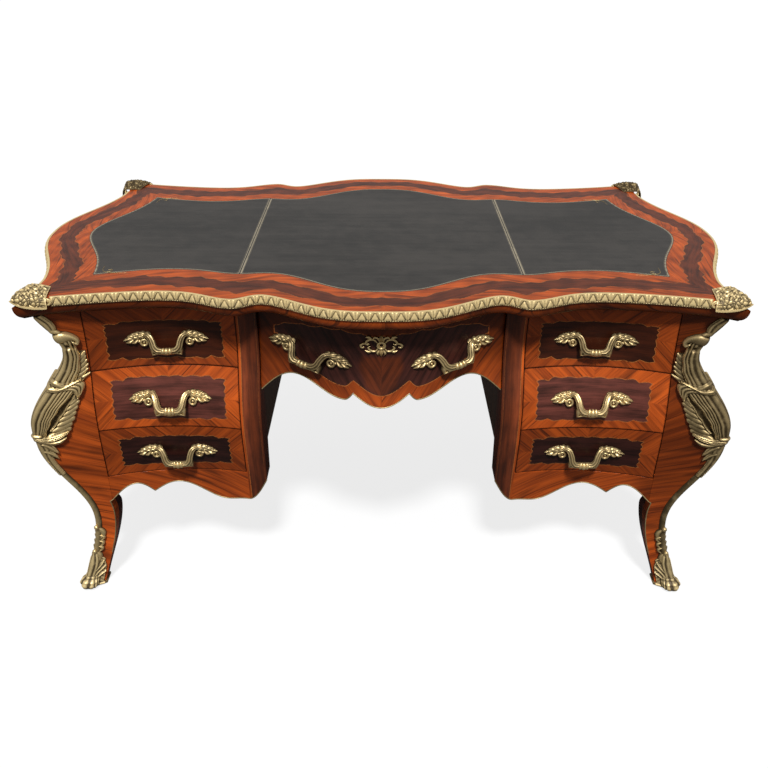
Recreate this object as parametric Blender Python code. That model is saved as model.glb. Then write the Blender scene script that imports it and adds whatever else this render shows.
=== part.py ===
"""Bombe desk: a serpentine leather-lined top on two three-drawer pedestals with cabriole legs.

Metres, +Z up, origin on the floor under the middle of the top, front towards -Y.
"""

import math

import bmesh
import bpy
import numpy as np
from mathutils import Matrix, Vector

# Overall sizes
DESK_HEIGHT = 0.790             # floor to the writing surface
CARCASS_HALF_DEPTH = 0.400      # middle of the desk to the front of a kneehole stile
KNEEHOLE_HALF_WIDTH = 0.275     # middle of the desk to a stile's kneehole edge
STILE_WIDTH = 0.0495            # front face of a kneehole stile
DRAWER_OPENING = 0.331          # width between a stile and a corner post

# Fits
FIT_GAP = 0.0003                # between flat pieces that touch
BRASS_SEAT = 0.0007             # under a casting that follows a curved face
DRAWER_GAP = 0.0015             # round a drawer front
BOX_GAP = 0.003                 # beside a drawer box

# Top board, plan and edge
TOP_THICKNESS = 0.042
TOP_WAIST_OVERHANG = 0.014      # front edge beyond the stiles, at its hollow
FRONT_BULGE = 0.109             # middle of the front edge beyond its hollow
FRONT_BULGE_REACH = 0.207
FRONT_BULGE_POWER = 3.2
LOBE_SIZE = 0.043               # small swell of the front edge over each stile
LOBE_OFFSET = 0.043             # lobe centre outside the kneehole edge
LOBE_INNER_REACH = 0.042
LOBE_OUTER_REACH = 0.075
TOP_CORNER_REACH = 0.1065       # top corner outside the drawer opening
CORNER_FLARE = 0.052            # front edge's rise towards a corner
FLARE_LENGTH = 0.292
FLARE_POWER = 1.6
SIDE_WAIST_REACH = 0.0805       # side edge outside the drawer opening, at its hollow
SIDE_BULGE = 0.098
SIDE_BULGE_REACH = 0.231
SIDE_BULGE_POWER = 2.3
SIDE_FLARE_LENGTH = 0.135
OVOLO_HEIGHT = 0.0235           # rounded lower edge of the board
OVOLO_DEPTH = 0.012
LEDGE = 0.003                   # lip that the brass edge sits on

# Leather lining
LEATHER_THICKNESS = 0.002
FRONT_BORDER = 0.139            # veneered border at the front hollow
SIDE_BORDER = 0.091             # veneered border at the side hollow
LEATHER_BULGE = 0.135
LEATHER_BULGE_REACH = 0.189
LEATHER_BULGE_POWER = 2.65
LEATHER_LOBE = 0.028
LEATHER_LOBE_OFFSET = 0.055
LEATHER_SIDE_BULGE = 0.096
LEATHER_SIDE_REACH = 0.180
LEATHER_FLARE = 0.039
LEATHER_CORNER_STEP = 0.003     # corner of the lining outside its side hollow
PANEL_HALF_WIDTH = 0.320        # middle of the desk to the joint between leather panels

# Brass edge and corner mounts
EDGE_PROUD = 0.009
EDGE_HEIGHT = 0.0205
MOUNT_FRONT_REACH = 0.062       # along the front edge from the corner
MOUNT_SIDE_REACH = 0.090        # along the side edge from the corner
MOUNT_PROUD = 0.022
MOUNT_RISE = 0.016
MOUNT_JOINT = 0.0015            # between a corner mount and the brass edge

# Corner posts and cabriole legs
WAIST_DROP = 0.140              # writing surface down to the narrowest height of a post
BELLY_DROP = 0.310              # writing surface down to the fullest height of a post
BELLY_RUN = 0.025               # height over which a post stays at its fullest
ANKLE_DROP = 0.112              # drawer stack down to the narrowest height of a leg
LEG_KICK_DEPTH = 0.080          # the toe's curve aims this far under the floor
FLARE_REACH = 0.0925            # arris outside the drawer opening, at the writing surface
WAIST_REACH = 0.036
BELLY_REACH = 0.1205
ANKLE_REACH = 0.0385
TOE_REACH = 0.0945
ARRIS_STEP = 0.025              # arris in front of the stiles, at the ankle
ARRIS_SLANT = 0.5               # forward swing of the arris for each unit sideways
ARRIS_FLAT = 0.006
POST_SETBACK = 0.040            # rear of a post behind the stile fronts
LEG_WIDTH = 0.038
FOOT_DEPTH = 0.052
ANKLE_DEPTH = 0.085
LEG_TOP_DROP = 0.070            # drawer stack down to where the leg leaves the apron
LEG_EASE = 0.050

# Bombe faces
FRONT_HOLLOW = 0.045            # hollow of a pedestal's front
STILE_WAIST = -0.008            # stile front against the top, at the waist
STILE_BELLY = 0.025
STILE_FOOT = -0.010
SIDE_SWELL = 0.055              # swell of the side's middle beyond its corners
SIDE_HOLLOW_SHARE = 0.7
SIDE_HOLLOW_START = 0.0095
SIDE_THICKNESS = 0.024

# Pedestal framing
FRAME_SETBACK = 0.055           # back of the front frame behind the stile fronts
INNER_REVEAL = 0.025            # inner side set outside the stile's kneehole edge
INNER_THICKNESS = 0.020
INNER_DROP = 0.027              # inner side below the drawer stack
RUNNER_THICKNESS = 0.014
RUNNER_RISE = 0.012             # runner above the lower edge of its drawer front
RUNNER_BEARING = 0.0125         # width of runner under a drawer box
RUNNER_SETBACK = 0.002
BOTTOM_BOARD = 0.016

# Scalloped lower edges, below the drawer stack at the pedestals and below the writing surface at the centre
APRON_STILE_DROP = 0.012
APRON_SHOULDER_DROP = 0.0865
APRON_SCALLOP_DROP = 0.092
APRON_CREST_DROP = 0.038
APRON_CUSP_DROP = 0.0625
APRON_LOBE_DROP = 0.032
SIDE_MIDDLE_DROP = 0.060
SIDE_CREST_DROP = 0.025
CENTER_MIDDLE_DROP = 0.240
CENTER_CUSP_DROP = 0.211
CENTER_SCALLOP_DROP = 0.226
CENTER_CREST_DROP = 0.193
CENTER_END_DROP = 0.243

# Drawers
DRAWER_HEADROOM = 0.004
TOP_DRAWER_HEIGHT = 0.150
MIDDLE_DRAWER_HEIGHT = 0.148
BOTTOM_DRAWER_HEIGHT = 0.134
FRONT_SETBACK = 0.069           # back of a drawer front behind the stile fronts
BOX_LENGTH = 0.520
BOX_WALL = 0.010
BOX_FLOOR = 0.006
BOX_HEIGHT = 0.1007

# Centre drawer and back frieze
CENTER_END_SETBACK = 0.018      # ends of the centre front behind the stile fronts
CENTER_BULGE = 0.096
CENTER_REACH = 0.190
CENTER_POWER = 2.6
CENTER_SETBACK = 0.030          # flat back of the centre front behind the stile fronts
CENTER_BOX_HALF_WIDTH = 0.245
CENTER_BOX_DROP = 0.165         # writing surface down to the box floor
CENTER_BOX_LENGTH = 0.500
CENTER_BOX_HEIGHT = 0.0967
FRIEZE_THICKNESS = 0.024

# Fittings
HANDLE_HALF_WIDTH = 0.093
HANDLE_SHIFT = 0.005            # handles set towards the kneehole from the middle of a drawer front
TOP_HANDLE_DROP = 0.010         # leaf line below the middle of a drawer front
MIDDLE_HANDLE_DROP = -0.001
BOTTOM_HANDLE_DROP = 0.003
BAIL_DROP = 0.028               # grip below the leaf line
BAIL_PROUD = 0.022              # grip out from the drawer front
HANDLE_LEAF_HEIGHT = 0.011      # half height of a leafed end
HANDLE_CAST_DEPTH = 0.006       # half depth of the casting
CENTER_HANDLE_X = 0.157
CENTER_HANDLE_DROP = 0.134
CENTER_HANDLE_TILT = math.radians(10)
ESCUTCHEON_DROP = 0.096
ESCUTCHEON_HALF_WIDTH = 0.045
ESCUTCHEON_HALF_HEIGHT = 0.025
ESCUTCHEON_THICKNESS = 0.004
KEYHOLE_RADIUS = 0.0035
LOCK_HALF_WIDTH = 0.028
LOCK_DEPTH = 0.020
LOCK_HEIGHT = 0.046
LOCK_DROP = 0.056               # writing surface down to the top of the lock
BOLT_HALF_WIDTH = 0.010
BOLT_DEPTH = 0.008
BOLT_HEIGHT = 0.041
BOLT_STANDING = 0.0065          # bolt above its case when unlocked
BOLT_TRAVEL = 0.008

# Chutes and sabots
CHUTE_THICKNESS = 0.010
FILLET_REACH = 0.013
CHUTE_BELLY_REACH = 0.084
CHUTE_WAIST_REACH = 0.028
CHUTE_HEAD_REACH = 0.034
CHUTE_TAIL_RISE = 0.090         # ankle up to where the fillet begins to widen
CHUTE_WAIST_DROP = 0.020
CHUTE_HEAD_DROP = 0.035
SABOT_HEIGHT = 0.085
SABOT_THICKNESS = 0.005
SABOT_TOE = 0.020
SOLE = 0.006

# Places worked out from the sizes above
TOP_UNDERSIDE = DESK_HEIGHT - TOP_THICKNESS
CARCASS_TOP = TOP_UNDERSIDE - FIT_GAP
DRAWER_HEIGHTS = (TOP_DRAWER_HEIGHT, MIDDLE_DRAWER_HEIGHT, BOTTOM_DRAWER_HEIGHT)
HANDLE_DROPS = {"top": TOP_HANDLE_DROP, "middle": MIDDLE_HANDLE_DROP, "bottom": BOTTOM_HANDLE_DROP}
STACK_TOP = CARCASS_TOP - DRAWER_HEADROOM
STACK_BASE = STACK_TOP - sum(DRAWER_HEIGHTS)
STILE_OUTER_X = KNEEHOLE_HALF_WIDTH + STILE_WIDTH
POST_X = STILE_OUTER_X + DRAWER_OPENING
POST_Y = CARCASS_HALF_DEPTH - POST_SETBACK
FRAME_BACK = CARCASS_HALF_DEPTH - FRAME_SETBACK
FRONT_BACK = CARCASS_HALF_DEPTH - FRONT_SETBACK
CENTER_BACK = CARCASS_HALF_DEPTH - CENTER_SETBACK
INNER_X = KNEEHOLE_HALF_WIDTH + INNER_REVEAL
WAIST_Z = DESK_HEIGHT - WAIST_DROP
BELLY_Z = DESK_HEIGHT - BELLY_DROP
ANKLE_Z = STACK_BASE - ANKLE_DROP
LEG_TOP_Z = STACK_BASE - LEG_TOP_DROP
TOP_CORNER_X = POST_X + TOP_CORNER_REACH
TOP_WAIST_Y = CARCASS_HALF_DEPTH + TOP_WAIST_OVERHANG
LEDGE_Z = TOP_UNDERSIDE + OVOLO_HEIGHT
CENTER_BOX_Z = DESK_HEIGHT - CENTER_BOX_DROP
RUNNER_REACH = FRONT_BACK - RUNNER_SETBACK
FOOT_Z = SOLE + FIT_GAP
CORNERS = {
    "front_left": (-1, -1),
    "front_right": (1, -1),
    "back_left": (-1, 1),
    "back_right": (1, 1),
}
SIDES = {"left": -1, "right": 1}


# Curves that the pieces share


def eased(place, stations):
    """Value between (place, value) stations, level at each of them."""
    for (start, first), (end, last) in zip(stations, stations[1:]):
        if place <= end:
            share = max(0.0, (place - start) / (end - start))
            return first + (last - first) * (1 - math.cos(math.pi * share)) / 2
    return stations[-1][1]


def scalloped(place, stations):
    """Value between (place, value, is_round) stations, pointed at those that are not round."""
    for (start, first, first_round), (end, last, last_round) in zip(stations, stations[1:]):
        if place <= end:
            share = max(0.0, (place - start) / (end - start))
            if first_round and last_round:
                share = (1 - math.cos(math.pi * share)) / 2
            elif first_round:
                share = 1 - math.cos(math.pi * share / 2)
            elif last_round:
                share = math.sin(math.pi * share / 2)
            return first + (last - first) * share
    return stations[-1][1]


def swell(distance, reach, power=2.0):
    """Smooth bump of height 1 that dies away over about its reach."""
    return math.exp(-(abs(distance) / reach) ** power)


def front_edge(x):
    """Half depth of the top board at x."""
    x = abs(x)
    lobe_x = KNEEHOLE_HALF_WIDTH + LOBE_OFFSET
    lobe_reach = LOBE_INNER_REACH if x < lobe_x else LOBE_OUTER_REACH
    flare = max(0.0, 1 - (TOP_CORNER_X - x) / FLARE_LENGTH) ** FLARE_POWER
    return (
        TOP_WAIST_Y
        + FRONT_BULGE * swell(x, FRONT_BULGE_REACH, FRONT_BULGE_POWER)
        + LOBE_SIZE * swell(x - lobe_x, lobe_reach)
        + CORNER_FLARE * flare
    )


def plain_side_edge(y):
    """Half width of the top board at y, before its corners flare."""
    return POST_X + SIDE_WAIST_REACH + SIDE_BULGE * swell(y, SIDE_BULGE_REACH, SIDE_BULGE_POWER)


TOP_CORNER_Y = front_edge(TOP_CORNER_X)
SIDE_FLARE = TOP_CORNER_X - plain_side_edge(TOP_CORNER_Y)


def side_edge(y):
    """Half width of the top board at y."""
    flare = max(0.0, 1 - (TOP_CORNER_Y - abs(y)) / SIDE_FLARE_LENGTH) ** FLARE_POWER
    return plain_side_edge(y) + SIDE_FLARE * flare


def leather_side_edge(y):
    """Half width of the leather lining at y."""
    waist = POST_X + SIDE_WAIST_REACH - SIDE_BORDER
    return waist + LEATHER_SIDE_BULGE * swell(y, LEATHER_SIDE_REACH)


LEATHER_CORNER_X = POST_X + SIDE_WAIST_REACH - SIDE_BORDER + LEATHER_CORNER_STEP


def leather_front_edge(x):
    """Half depth of the leather lining at x."""
    x = abs(x)
    lobe_x = KNEEHOLE_HALF_WIDTH + LEATHER_LOBE_OFFSET
    flare_start = lobe_x + 2 * LOBE_OUTER_REACH
    flare = max(0.0, (x - flare_start) / (LEATHER_CORNER_X - flare_start)) ** FLARE_POWER
    return (
        TOP_WAIST_Y
        - FRONT_BORDER
        + LEATHER_BULGE * swell(x, LEATHER_BULGE_REACH, LEATHER_BULGE_POWER)
        + LEATHER_LOBE * swell(x - lobe_x, LOBE_OUTER_REACH)
        + LEATHER_FLARE * flare
    )


LEATHER_CORNER_Y = leather_front_edge(LEATHER_CORNER_X)


def arris_x(z):
    """Corner arris, half width at height z."""
    stations = (
        (-LEG_KICK_DEPTH, TOE_REACH),
        (ANKLE_Z, ANKLE_REACH),
        (BELLY_Z - BELLY_RUN, BELLY_REACH),
        (BELLY_Z, BELLY_REACH),
        (WAIST_Z, WAIST_REACH),
        (DESK_HEIGHT, FLARE_REACH),
    )
    return POST_X + eased(z, stations)


def arris_y(z):
    """Corner arris, half depth at height z."""
    swing = arris_x(z) - POST_X - ANKLE_REACH
    return CARCASS_HALF_DEPTH + ARRIS_STEP + ARRIS_SLANT * swing


def stile_y(z):
    """Front of a kneehole stile, half depth at height z."""
    stations = (
        (ANKLE_Z, STILE_FOOT),
        (BELLY_Z, STILE_BELLY),
        (WAIST_Z, STILE_WAIST),
        (CARCASS_TOP, 0.0),
    )
    return CARCASS_HALF_DEPTH + eased(z, stations)


def front_face(x, z):
    """Bombe front of a pedestal, half depth at x and height z."""
    across = (x - KNEEHOLE_HALF_WIDTH) / (arris_x(z) - KNEEHOLE_HALF_WIDTH)
    straight = (1 - across) * stile_y(z) + across * arris_y(z)
    return straight - FRONT_HOLLOW * 4 * across * (1 - across)


def side_face(y, z):
    """Bombe side of a pedestal, half width at y and height z."""
    along = abs(y) / arris_y(z)
    fullness = arris_x(z) - POST_X - SIDE_HOLLOW_START
    hollow = SIDE_HOLLOW_SHARE * max(0.0, fullness) * math.sin(math.pi * along) ** 2
    return arris_x(z) + SIDE_SWELL * (1 - along**2) - hollow


def center_face(x, z):
    """Shaped front of the centre drawer, half depth at x and height z."""
    ends = CARCASS_HALF_DEPTH - CENTER_END_SETBACK
    bombe = stile_y(z) - CARCASS_HALF_DEPTH
    return ends + CENTER_BULGE * swell(x, CENTER_REACH, CENTER_POWER) + bombe


def pedestal_hem(x):
    """Scalloped lower edge of a pedestal's front and back, height at x."""
    share = STILE_WIDTH + DRAWER_OPENING
    stations = (
        (0.0, -APRON_STILE_DROP, False),
        (0.14 * share, -APRON_SHOULDER_DROP, True),
        (0.276 * share, -APRON_SCALLOP_DROP, True),
        (0.59 * share, -APRON_CREST_DROP, True),
        (0.741 * share, -APRON_CUSP_DROP, False),
        (0.848 * share, -APRON_LOBE_DROP, True),
        (share, -LEG_TOP_DROP, False),
    )
    return STACK_BASE + scalloped(x - KNEEHOLE_HALF_WIDTH, stations)


def side_hem(y):
    """Scalloped lower edge of a pedestal's side, height at y."""
    stations = (
        (0.0, -SIDE_MIDDLE_DROP, True),
        (0.58 * POST_Y, -SIDE_CREST_DROP, True),
        (POST_Y, -LEG_TOP_DROP, False),
    )
    return STACK_BASE + scalloped(abs(y), stations)


def center_hem(x):
    """Scalloped lower edge of the centre drawer and back frieze, height at x."""
    stations = (
        (0.0, -CENTER_MIDDLE_DROP, True),
        (0.225 * KNEEHOLE_HALF_WIDTH, -CENTER_CUSP_DROP, False),
        (0.295 * KNEEHOLE_HALF_WIDTH, -CENTER_SCALLOP_DROP, True),
        (0.70 * KNEEHOLE_HALF_WIDTH, -CENTER_CREST_DROP, True),
        (KNEEHOLE_HALF_WIDTH, -CENTER_END_DROP, False),
    )
    return DESK_HEIGHT + scalloped(abs(x), stations)


def offset(points, distances):
    """An open plan line moved to its left by a distance at each point."""
    points = np.array(points, dtype=float)
    runs = np.diff(points, axis=0)
    runs /= np.linalg.norm(runs, axis=1)[:, None]
    normals = np.stack([-runs[:, 1], runs[:, 0]], axis=1)
    before = np.vstack([normals[:1], normals])
    after = np.vstack([normals, normals[-1:]])
    mitre = before + after
    mitre /= np.linalg.norm(mitre, axis=1)[:, None]
    lean = np.maximum(0.6, np.sum(mitre * after, axis=1))
    return points + mitre * (np.broadcast_to(distances, len(points)) / lean)[:, None]


def spread(start, end, count):
    """Evenly spaced values, both ends included."""
    return [float(value) for value in np.linspace(start, end, count)]


# Materials and mesh helpers


def finish(name, color, roughness, metallic=0.0):
    """A plain Principled material."""
    material = bpy.data.materials.new(name)
    material.use_nodes = True
    shader = material.node_tree.nodes["Principled BSDF"]
    shader.inputs["Base Color"].default_value = (*color, 1.0)
    shader.inputs["Roughness"].default_value = roughness
    shader.inputs["Metallic"].default_value = metallic
    return material


def clear_scene():
    """Remove every object, so that the desk is all there is."""
    for thing in list(bpy.data.objects):
        bpy.data.objects.remove(thing, do_unlink=True)


def add_collection(name):
    """A collection under the scene."""
    collection = bpy.data.collections.new(name)
    bpy.context.scene.collection.children.link(collection)
    return collection


def add_object(name, data, material, collection):
    """Link a finished piece."""
    piece = bpy.data.objects.new(name, data)
    data.materials.append(material)
    collection.objects.link(piece)
    return piece


def mesh_object(name, shape, material, collection):
    """Turn an edit mesh into a piece with its faces pointing out."""
    bmesh.ops.recalc_face_normals(shape, faces=shape.faces)
    data = bpy.data.meshes.new(name)
    shape.to_mesh(data)
    shape.free()
    data.shade_smooth()
    data.set_sharp_from_angle(angle=math.radians(35))
    return add_object(name, data, material, collection)


def loft(name, rings, material, collection):
    """A solid through matching closed sections, capped at both ends."""
    shape = bmesh.new()
    rows = [[shape.verts.new(point) for point in ring] for ring in rings]
    count = len(rows[0])
    for lower, upper in zip(rows, rows[1:]):
        for index in range(count):
            following = (index + 1) % count
            shape.faces.new((lower[index], lower[following], upper[following], upper[index]))
    bmesh.ops.triangulate(shape, faces=shape.faces, quad_method="SHORT_EDGE")
    shape.faces.new(rows[0])
    shape.faces.new(rows[-1])
    return mesh_object(name, shape, material, collection)


def box(name, low, high, material, collection):
    """A rectangular block between two corners."""
    low = Vector(low)
    high = Vector(high)
    shape = bmesh.new()
    bmesh.ops.create_cube(shape, size=1.0)
    bmesh.ops.scale(shape, vec=high - low, verts=shape.verts)
    bmesh.ops.translate(shape, vec=(low + high) / 2, verts=shape.verts)
    return mesh_object(name, shape, material, collection)


def plate(name, outline, low, high, material, collection):
    """A flat outline with a thickness."""
    curve = bpy.data.curves.new(name, "CURVE")
    curve.dimensions = "2D"
    curve.fill_mode = "BOTH"
    curve.extrude = (high - low) / 2
    line = curve.splines.new("POLY")
    line.points.add(len(outline) - 1)
    for point, (x, y) in zip(line.points, outline):
        point.co = (x, y, 0.0, 1.0)
    line.use_cyclic_u = True
    piece = add_object(name, curve, material, collection)
    piece.location.z = (low + high) / 2
    return piece


def hide_tool(tool):
    """Mark a cutter or joined-on shape as no piece of its own."""
    tool.hide_render = True
    tool.display_type = "WIRE"


def combine(piece, tool, operation):
    """Cut a shape from a piece, or join it on."""
    hide_tool(tool)
    change = piece.modifiers.new(tool.name, "BOOLEAN")
    change.operation = operation
    change.solver = "EXACT"
    change.object = tool


def mirrored(ring, side, end=1):
    """A section moved to another quarter of the desk."""
    return [(side * x, end * y, z) for x, y, z in ring]


# The desk

clear_scene()
DESK = add_collection("bombe_desk")
TOOLS = add_collection("cutters")

TULIPWOOD = finish("tulipwood_veneer", (0.30, 0.085, 0.022), 0.28)
KINGWOOD = finish("kingwood_veneer", (0.055, 0.016, 0.014), 0.28)
OAK = finish("oak_lining", (0.26, 0.15, 0.075), 0.55)
LEATHER = finish("tooled_leather", (0.030, 0.026, 0.022), 0.45)
BRASS = finish("gilt_brass", (0.42, 0.31, 0.12), 0.30, 1.0)
STEEL = finish("lock_steel", (0.30, 0.29, 0.28), 0.40, 1.0)
TOOL = finish("cutter", (0.5, 0.5, 0.5), 0.5)


# Top


def front_stations():
    """x values along the brass of the front edge, closer together round the lobes."""
    lobe_start = KNEEHOLE_HALF_WIDTH - 3 * LOBE_INNER_REACH
    lobe_end = KNEEHOLE_HALF_WIDTH + LOBE_OFFSET + 2 * LOBE_OUTER_REACH
    brass_end = TOP_CORNER_X - MOUNT_FRONT_REACH - MOUNT_JOINT
    middle = spread(0.0, lobe_start, 5)
    half = middle + spread(lobe_start, lobe_end, 13)[1:] + spread(lobe_end, brass_end, 5)[1:]
    return [-x for x in reversed(half[1:])] + half


def side_stations():
    """y values along the brass of a side edge."""
    brass_end = TOP_CORNER_Y - MOUNT_SIDE_REACH - MOUNT_JOINT
    return spread(-brass_end, brass_end, 15)


def with_corners(stations, corner):
    """Stations carried on to the corners of the top, under the corner mounts."""
    ends = spread(stations[-1], corner, 3)[1:]
    return [-place for place in reversed(ends)] + stations + ends


def top_outline(proud=0.0):
    """Closed plan of the top board, counter-clockwise, moved out by proud."""
    front = [(x, -front_edge(x)) for x in with_corners(front_stations(), TOP_CORNER_X)]
    right = [(side_edge(y), y) for y in with_corners(side_stations(), TOP_CORNER_Y)]
    half = front[:-1] + right[:-1]
    line = half + [(-x, -y) for x, y in half]
    wrapped = [line[-1]] + line + [line[0]]
    return [tuple(point) for point in offset(wrapped, -proud)[1:-1]]


def ring_at(outline, z):
    """A plan outline at a height."""
    return [(float(x), float(y), z) for x, y in outline]


def build_top_board():
    """Board with a rounded lower edge, a lip for the brass and a recess for the leather."""
    levels = (
        (TOP_UNDERSIDE, -OVOLO_DEPTH),
        (TOP_UNDERSIDE + 0.4 * OVOLO_HEIGHT, -0.25 * OVOLO_DEPTH),
        (LEDGE_Z, LEDGE),
        (LEDGE_Z + FIT_GAP, 0.0),
        (DESK_HEIGHT, 0.0),
    )
    rings = [ring_at(top_outline(proud), z) for z, proud in levels]
    board = loft("top_board", rings, TULIPWOOD, DESK)

    recess_floor = DESK_HEIGHT - LEATHER_THICKNESS - FIT_GAP
    recess_rings = [ring_at(recess_outline(), z) for z in (recess_floor, DESK_HEIGHT + TOP_THICKNESS)]
    combine(board, loft("leather_recess", recess_rings, TOOL, TOOLS), "DIFFERENCE")

    bolt_y = -(CENTER_BACK - LOCK_DEPTH / 2)
    mortise_half = Vector((BOLT_HALF_WIDTH + DRAWER_GAP, BOLT_DEPTH / 2 + DRAWER_GAP, 2 * BOLT_TRAVEL))
    centre = Vector((0.0, bolt_y, TOP_UNDERSIDE))
    mortise = box("bolt_mortise", centre - mortise_half, centre + mortise_half, TOOL, TOOLS)
    combine(board, mortise, "DIFFERENCE")


def leather_stations():
    """x values along the front of the lining's right half, one of them at the joint."""
    return spread(0.0, PANEL_HALF_WIDTH, 13) + spread(PANEL_HALF_WIDTH, LEATHER_CORNER_X, 12)[1:]


def leather_side():
    """Right side of the lining, front to back, without its corners."""
    return [(leather_side_edge(y), y) for y in spread(-LEATHER_CORNER_Y, LEATHER_CORNER_Y, 17)[1:-1]]


def recess_outline():
    """Closed plan of the recess for the lining, a fitting gap wider than the leather."""
    half = leather_stations()
    front = [(x, -leather_front_edge(x)) for x in [-x for x in reversed(half[1:])] + half]
    line = front + leather_side()
    line += [(-x, -y) for x, y in line]
    wrapped = [line[-1]] + line + [line[0]]
    return [tuple(point) for point in offset(wrapped, -FIT_GAP)[1:-1]]


def build_leather():
    """Three leather panels, flush with the veneer round them."""
    low = DESK_HEIGHT - LEATHER_THICKNESS
    inner = [x for x in leather_stations() if x <= PANEL_HALF_WIDTH]
    center_front = [(x, -leather_front_edge(x)) for x in [-x for x in reversed(inner[1:])] + inner]
    center = center_front + [(-x, -y) for x, y in center_front]
    outer = [PANEL_HALF_WIDTH + FIT_GAP] + [x for x in leather_stations() if x > PANEL_HALF_WIDTH]
    right_front = [(x, -leather_front_edge(x)) for x in outer]
    right = right_front + leather_side() + [(x, -y) for x, y in reversed(right_front)]
    left = [(-x, -y) for x, y in right]
    for name, outline in (("left", left), ("center", center), ("right", right)):
        plate("leather_" + name, outline, low, DESK_HEIGHT, LEATHER, DESK)


def moulding_rings(line):
    """Sections of the brass edge along a plan line that has the desk on its left."""
    low = LEDGE_Z + 2 * FIT_GAP
    section = (
        (FIT_GAP, low),
        (0.75 * EDGE_PROUD, low),
        (EDGE_PROUD, low + 0.35 * EDGE_HEIGHT),
        (0.65 * EDGE_PROUD, low + EDGE_HEIGHT),
        (FIT_GAP, low + EDGE_HEIGHT),
    )
    sides = [offset(line, -proud) for proud, _ in section]
    return [
        [(float(side[index][0]), float(side[index][1]), z) for side, (_, z) in zip(sides, section)]
        for index in range(len(line))
    ]


def build_edge_mouldings():
    """Brass edge between the corner mounts."""
    front = [(x, -front_edge(x)) for x in front_stations()]
    right = [(side_edge(y), y) for y in side_stations()]
    runs = {
        "edge_moulding_front": front,
        "edge_moulding_back": [(-x, -y) for x, y in front],
        "edge_moulding_right": right,
        "edge_moulding_left": [(-x, -y) for x, y in right],
    }
    for name, line in runs.items():
        loft(name, moulding_rings(line), BRASS, DESK)


def build_corner_mounts():
    """Cast caps over the corners of the top."""
    start_x = TOP_CORNER_X - MOUNT_FRONT_REACH
    start_y = TOP_CORNER_Y - MOUNT_SIDE_REACH
    low = LEDGE_Z + 2 * FIT_GAP
    envelope_heights = (low - TOP_THICKNESS, DESK_HEIGHT + FIT_GAP)
    envelope_rings = [ring_at(top_outline(FIT_GAP), z) for z in envelope_heights]
    envelope = loft("top_envelope", envelope_rings, TOOL, TOOLS)

    rings = []
    for across in spread(0.0, 1.0, 7):
        edge_x = start_x + across * MOUNT_FRONT_REACH
        front_y = front_edge(edge_x) + MOUNT_PROUD
        bottom = []
        top = []
        for along in spread(0.0, 1.0, 7):
            edge_y = start_y + along * MOUNT_SIDE_REACH
            x = start_x + across * (side_edge(edge_y) + MOUNT_PROUD - start_x)
            y = start_y + along * (front_y - start_y)
            crown = math.sin(math.pi * (0.15 + 0.7 * across)) * math.sin(math.pi * (0.15 + 0.7 * along))
            bottom.append((x, y, low))
            top.append((x, y, DESK_HEIGHT + MOUNT_RISE * (0.2 + 0.8 * crown)))
        rings.append(bottom + top[::-1])
    for corner, (side, end) in CORNERS.items():
        name = "corner_mount_" + corner
        mount = loft(name, [mirrored(ring, side, end) for ring in rings], BRASS, DESK)
        combine(mount, envelope, "DIFFERENCE")


# Corner posts, chutes and sabots


def post_front_x(z):
    """Inner edge of a post's front face."""
    if z >= LEG_TOP_Z:
        return POST_X
    return max(POST_X, arris_x(z) - LEG_WIDTH)


def post_side_y(z):
    """Rear edge of a post's side face."""
    leg = arris_y(z) - eased(z, ((0.0, FOOT_DEPTH), (ANKLE_Z, ANKLE_DEPTH)))
    return eased(z, ((LEG_TOP_Z - LEG_EASE, leg), (LEG_TOP_Z, POST_Y)))


def post_outline(z):
    """Outer faces of a post in plan, from its front edge round the arris to its rear edge."""
    reach = chute_reach(z)
    steps = (reach, (reach + ARRIS_FLAT) / 2, ARRIS_FLAT)
    front_x = [post_front_x(z)] + [arris_x(z) - step for step in steps]
    side_y = [arris_y(z) - step for step in reversed(steps)] + [post_side_y(z)]
    return [(x, front_face(x, z)) for x in front_x] + [(side_face(y, z), y) for y in side_y]


def post_levels():
    """Heights of a post's sections, one of them where the leg begins."""
    foot = [FOOT_Z] + spread(SABOT_HEIGHT / 3, SABOT_HEIGHT, 3)
    return foot + spread(SABOT_HEIGHT, LEG_TOP_Z, 7)[1:] + spread(LEG_TOP_Z, CARCASS_TOP, 18)[1:]


def build_posts():
    """Corner posts that run down into the legs."""
    rings = []
    for z in post_levels():
        inner = (post_front_x(z), post_side_y(z))
        rings.append([(x, y, z) for x, y in post_outline(z) + [inner]])
    for corner, (side, end) in CORNERS.items():
        loft("corner_post_" + corner, [mirrored(ring, side, end) for ring in rings], TULIPWOOD, DESK)


def chute_reach(z):
    """Width of a chute on each face, from the arris."""
    stations = (
        (ANKLE_Z + CHUTE_TAIL_RISE, FILLET_REACH),
        (BELLY_Z, CHUTE_BELLY_REACH),
        (WAIST_Z - CHUTE_WAIST_DROP, CHUTE_WAIST_REACH),
        (CARCASS_TOP - CHUTE_HEAD_DROP, CHUTE_HEAD_REACH),
        (CARCASS_TOP, FILLET_REACH),
    )
    room = arris_x(z) - post_front_x(z) - ARRIS_FLAT
    return min(eased(z, stations), room)


def chute_ring(z):
    """Section of a chute: a thin skin bent round the arris."""
    line = post_outline(z)[1:-1]
    thickness = BRASS_SEAT + CHUTE_THICKNESS * np.array((0.35, 0.8, 1.0, 1.0, 0.8, 0.35))
    inner = offset(line, BRASS_SEAT)
    outer = offset(line, thickness)
    return [(float(x), float(y), z) for x, y in np.vstack([outer, inner[::-1]])]


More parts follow.
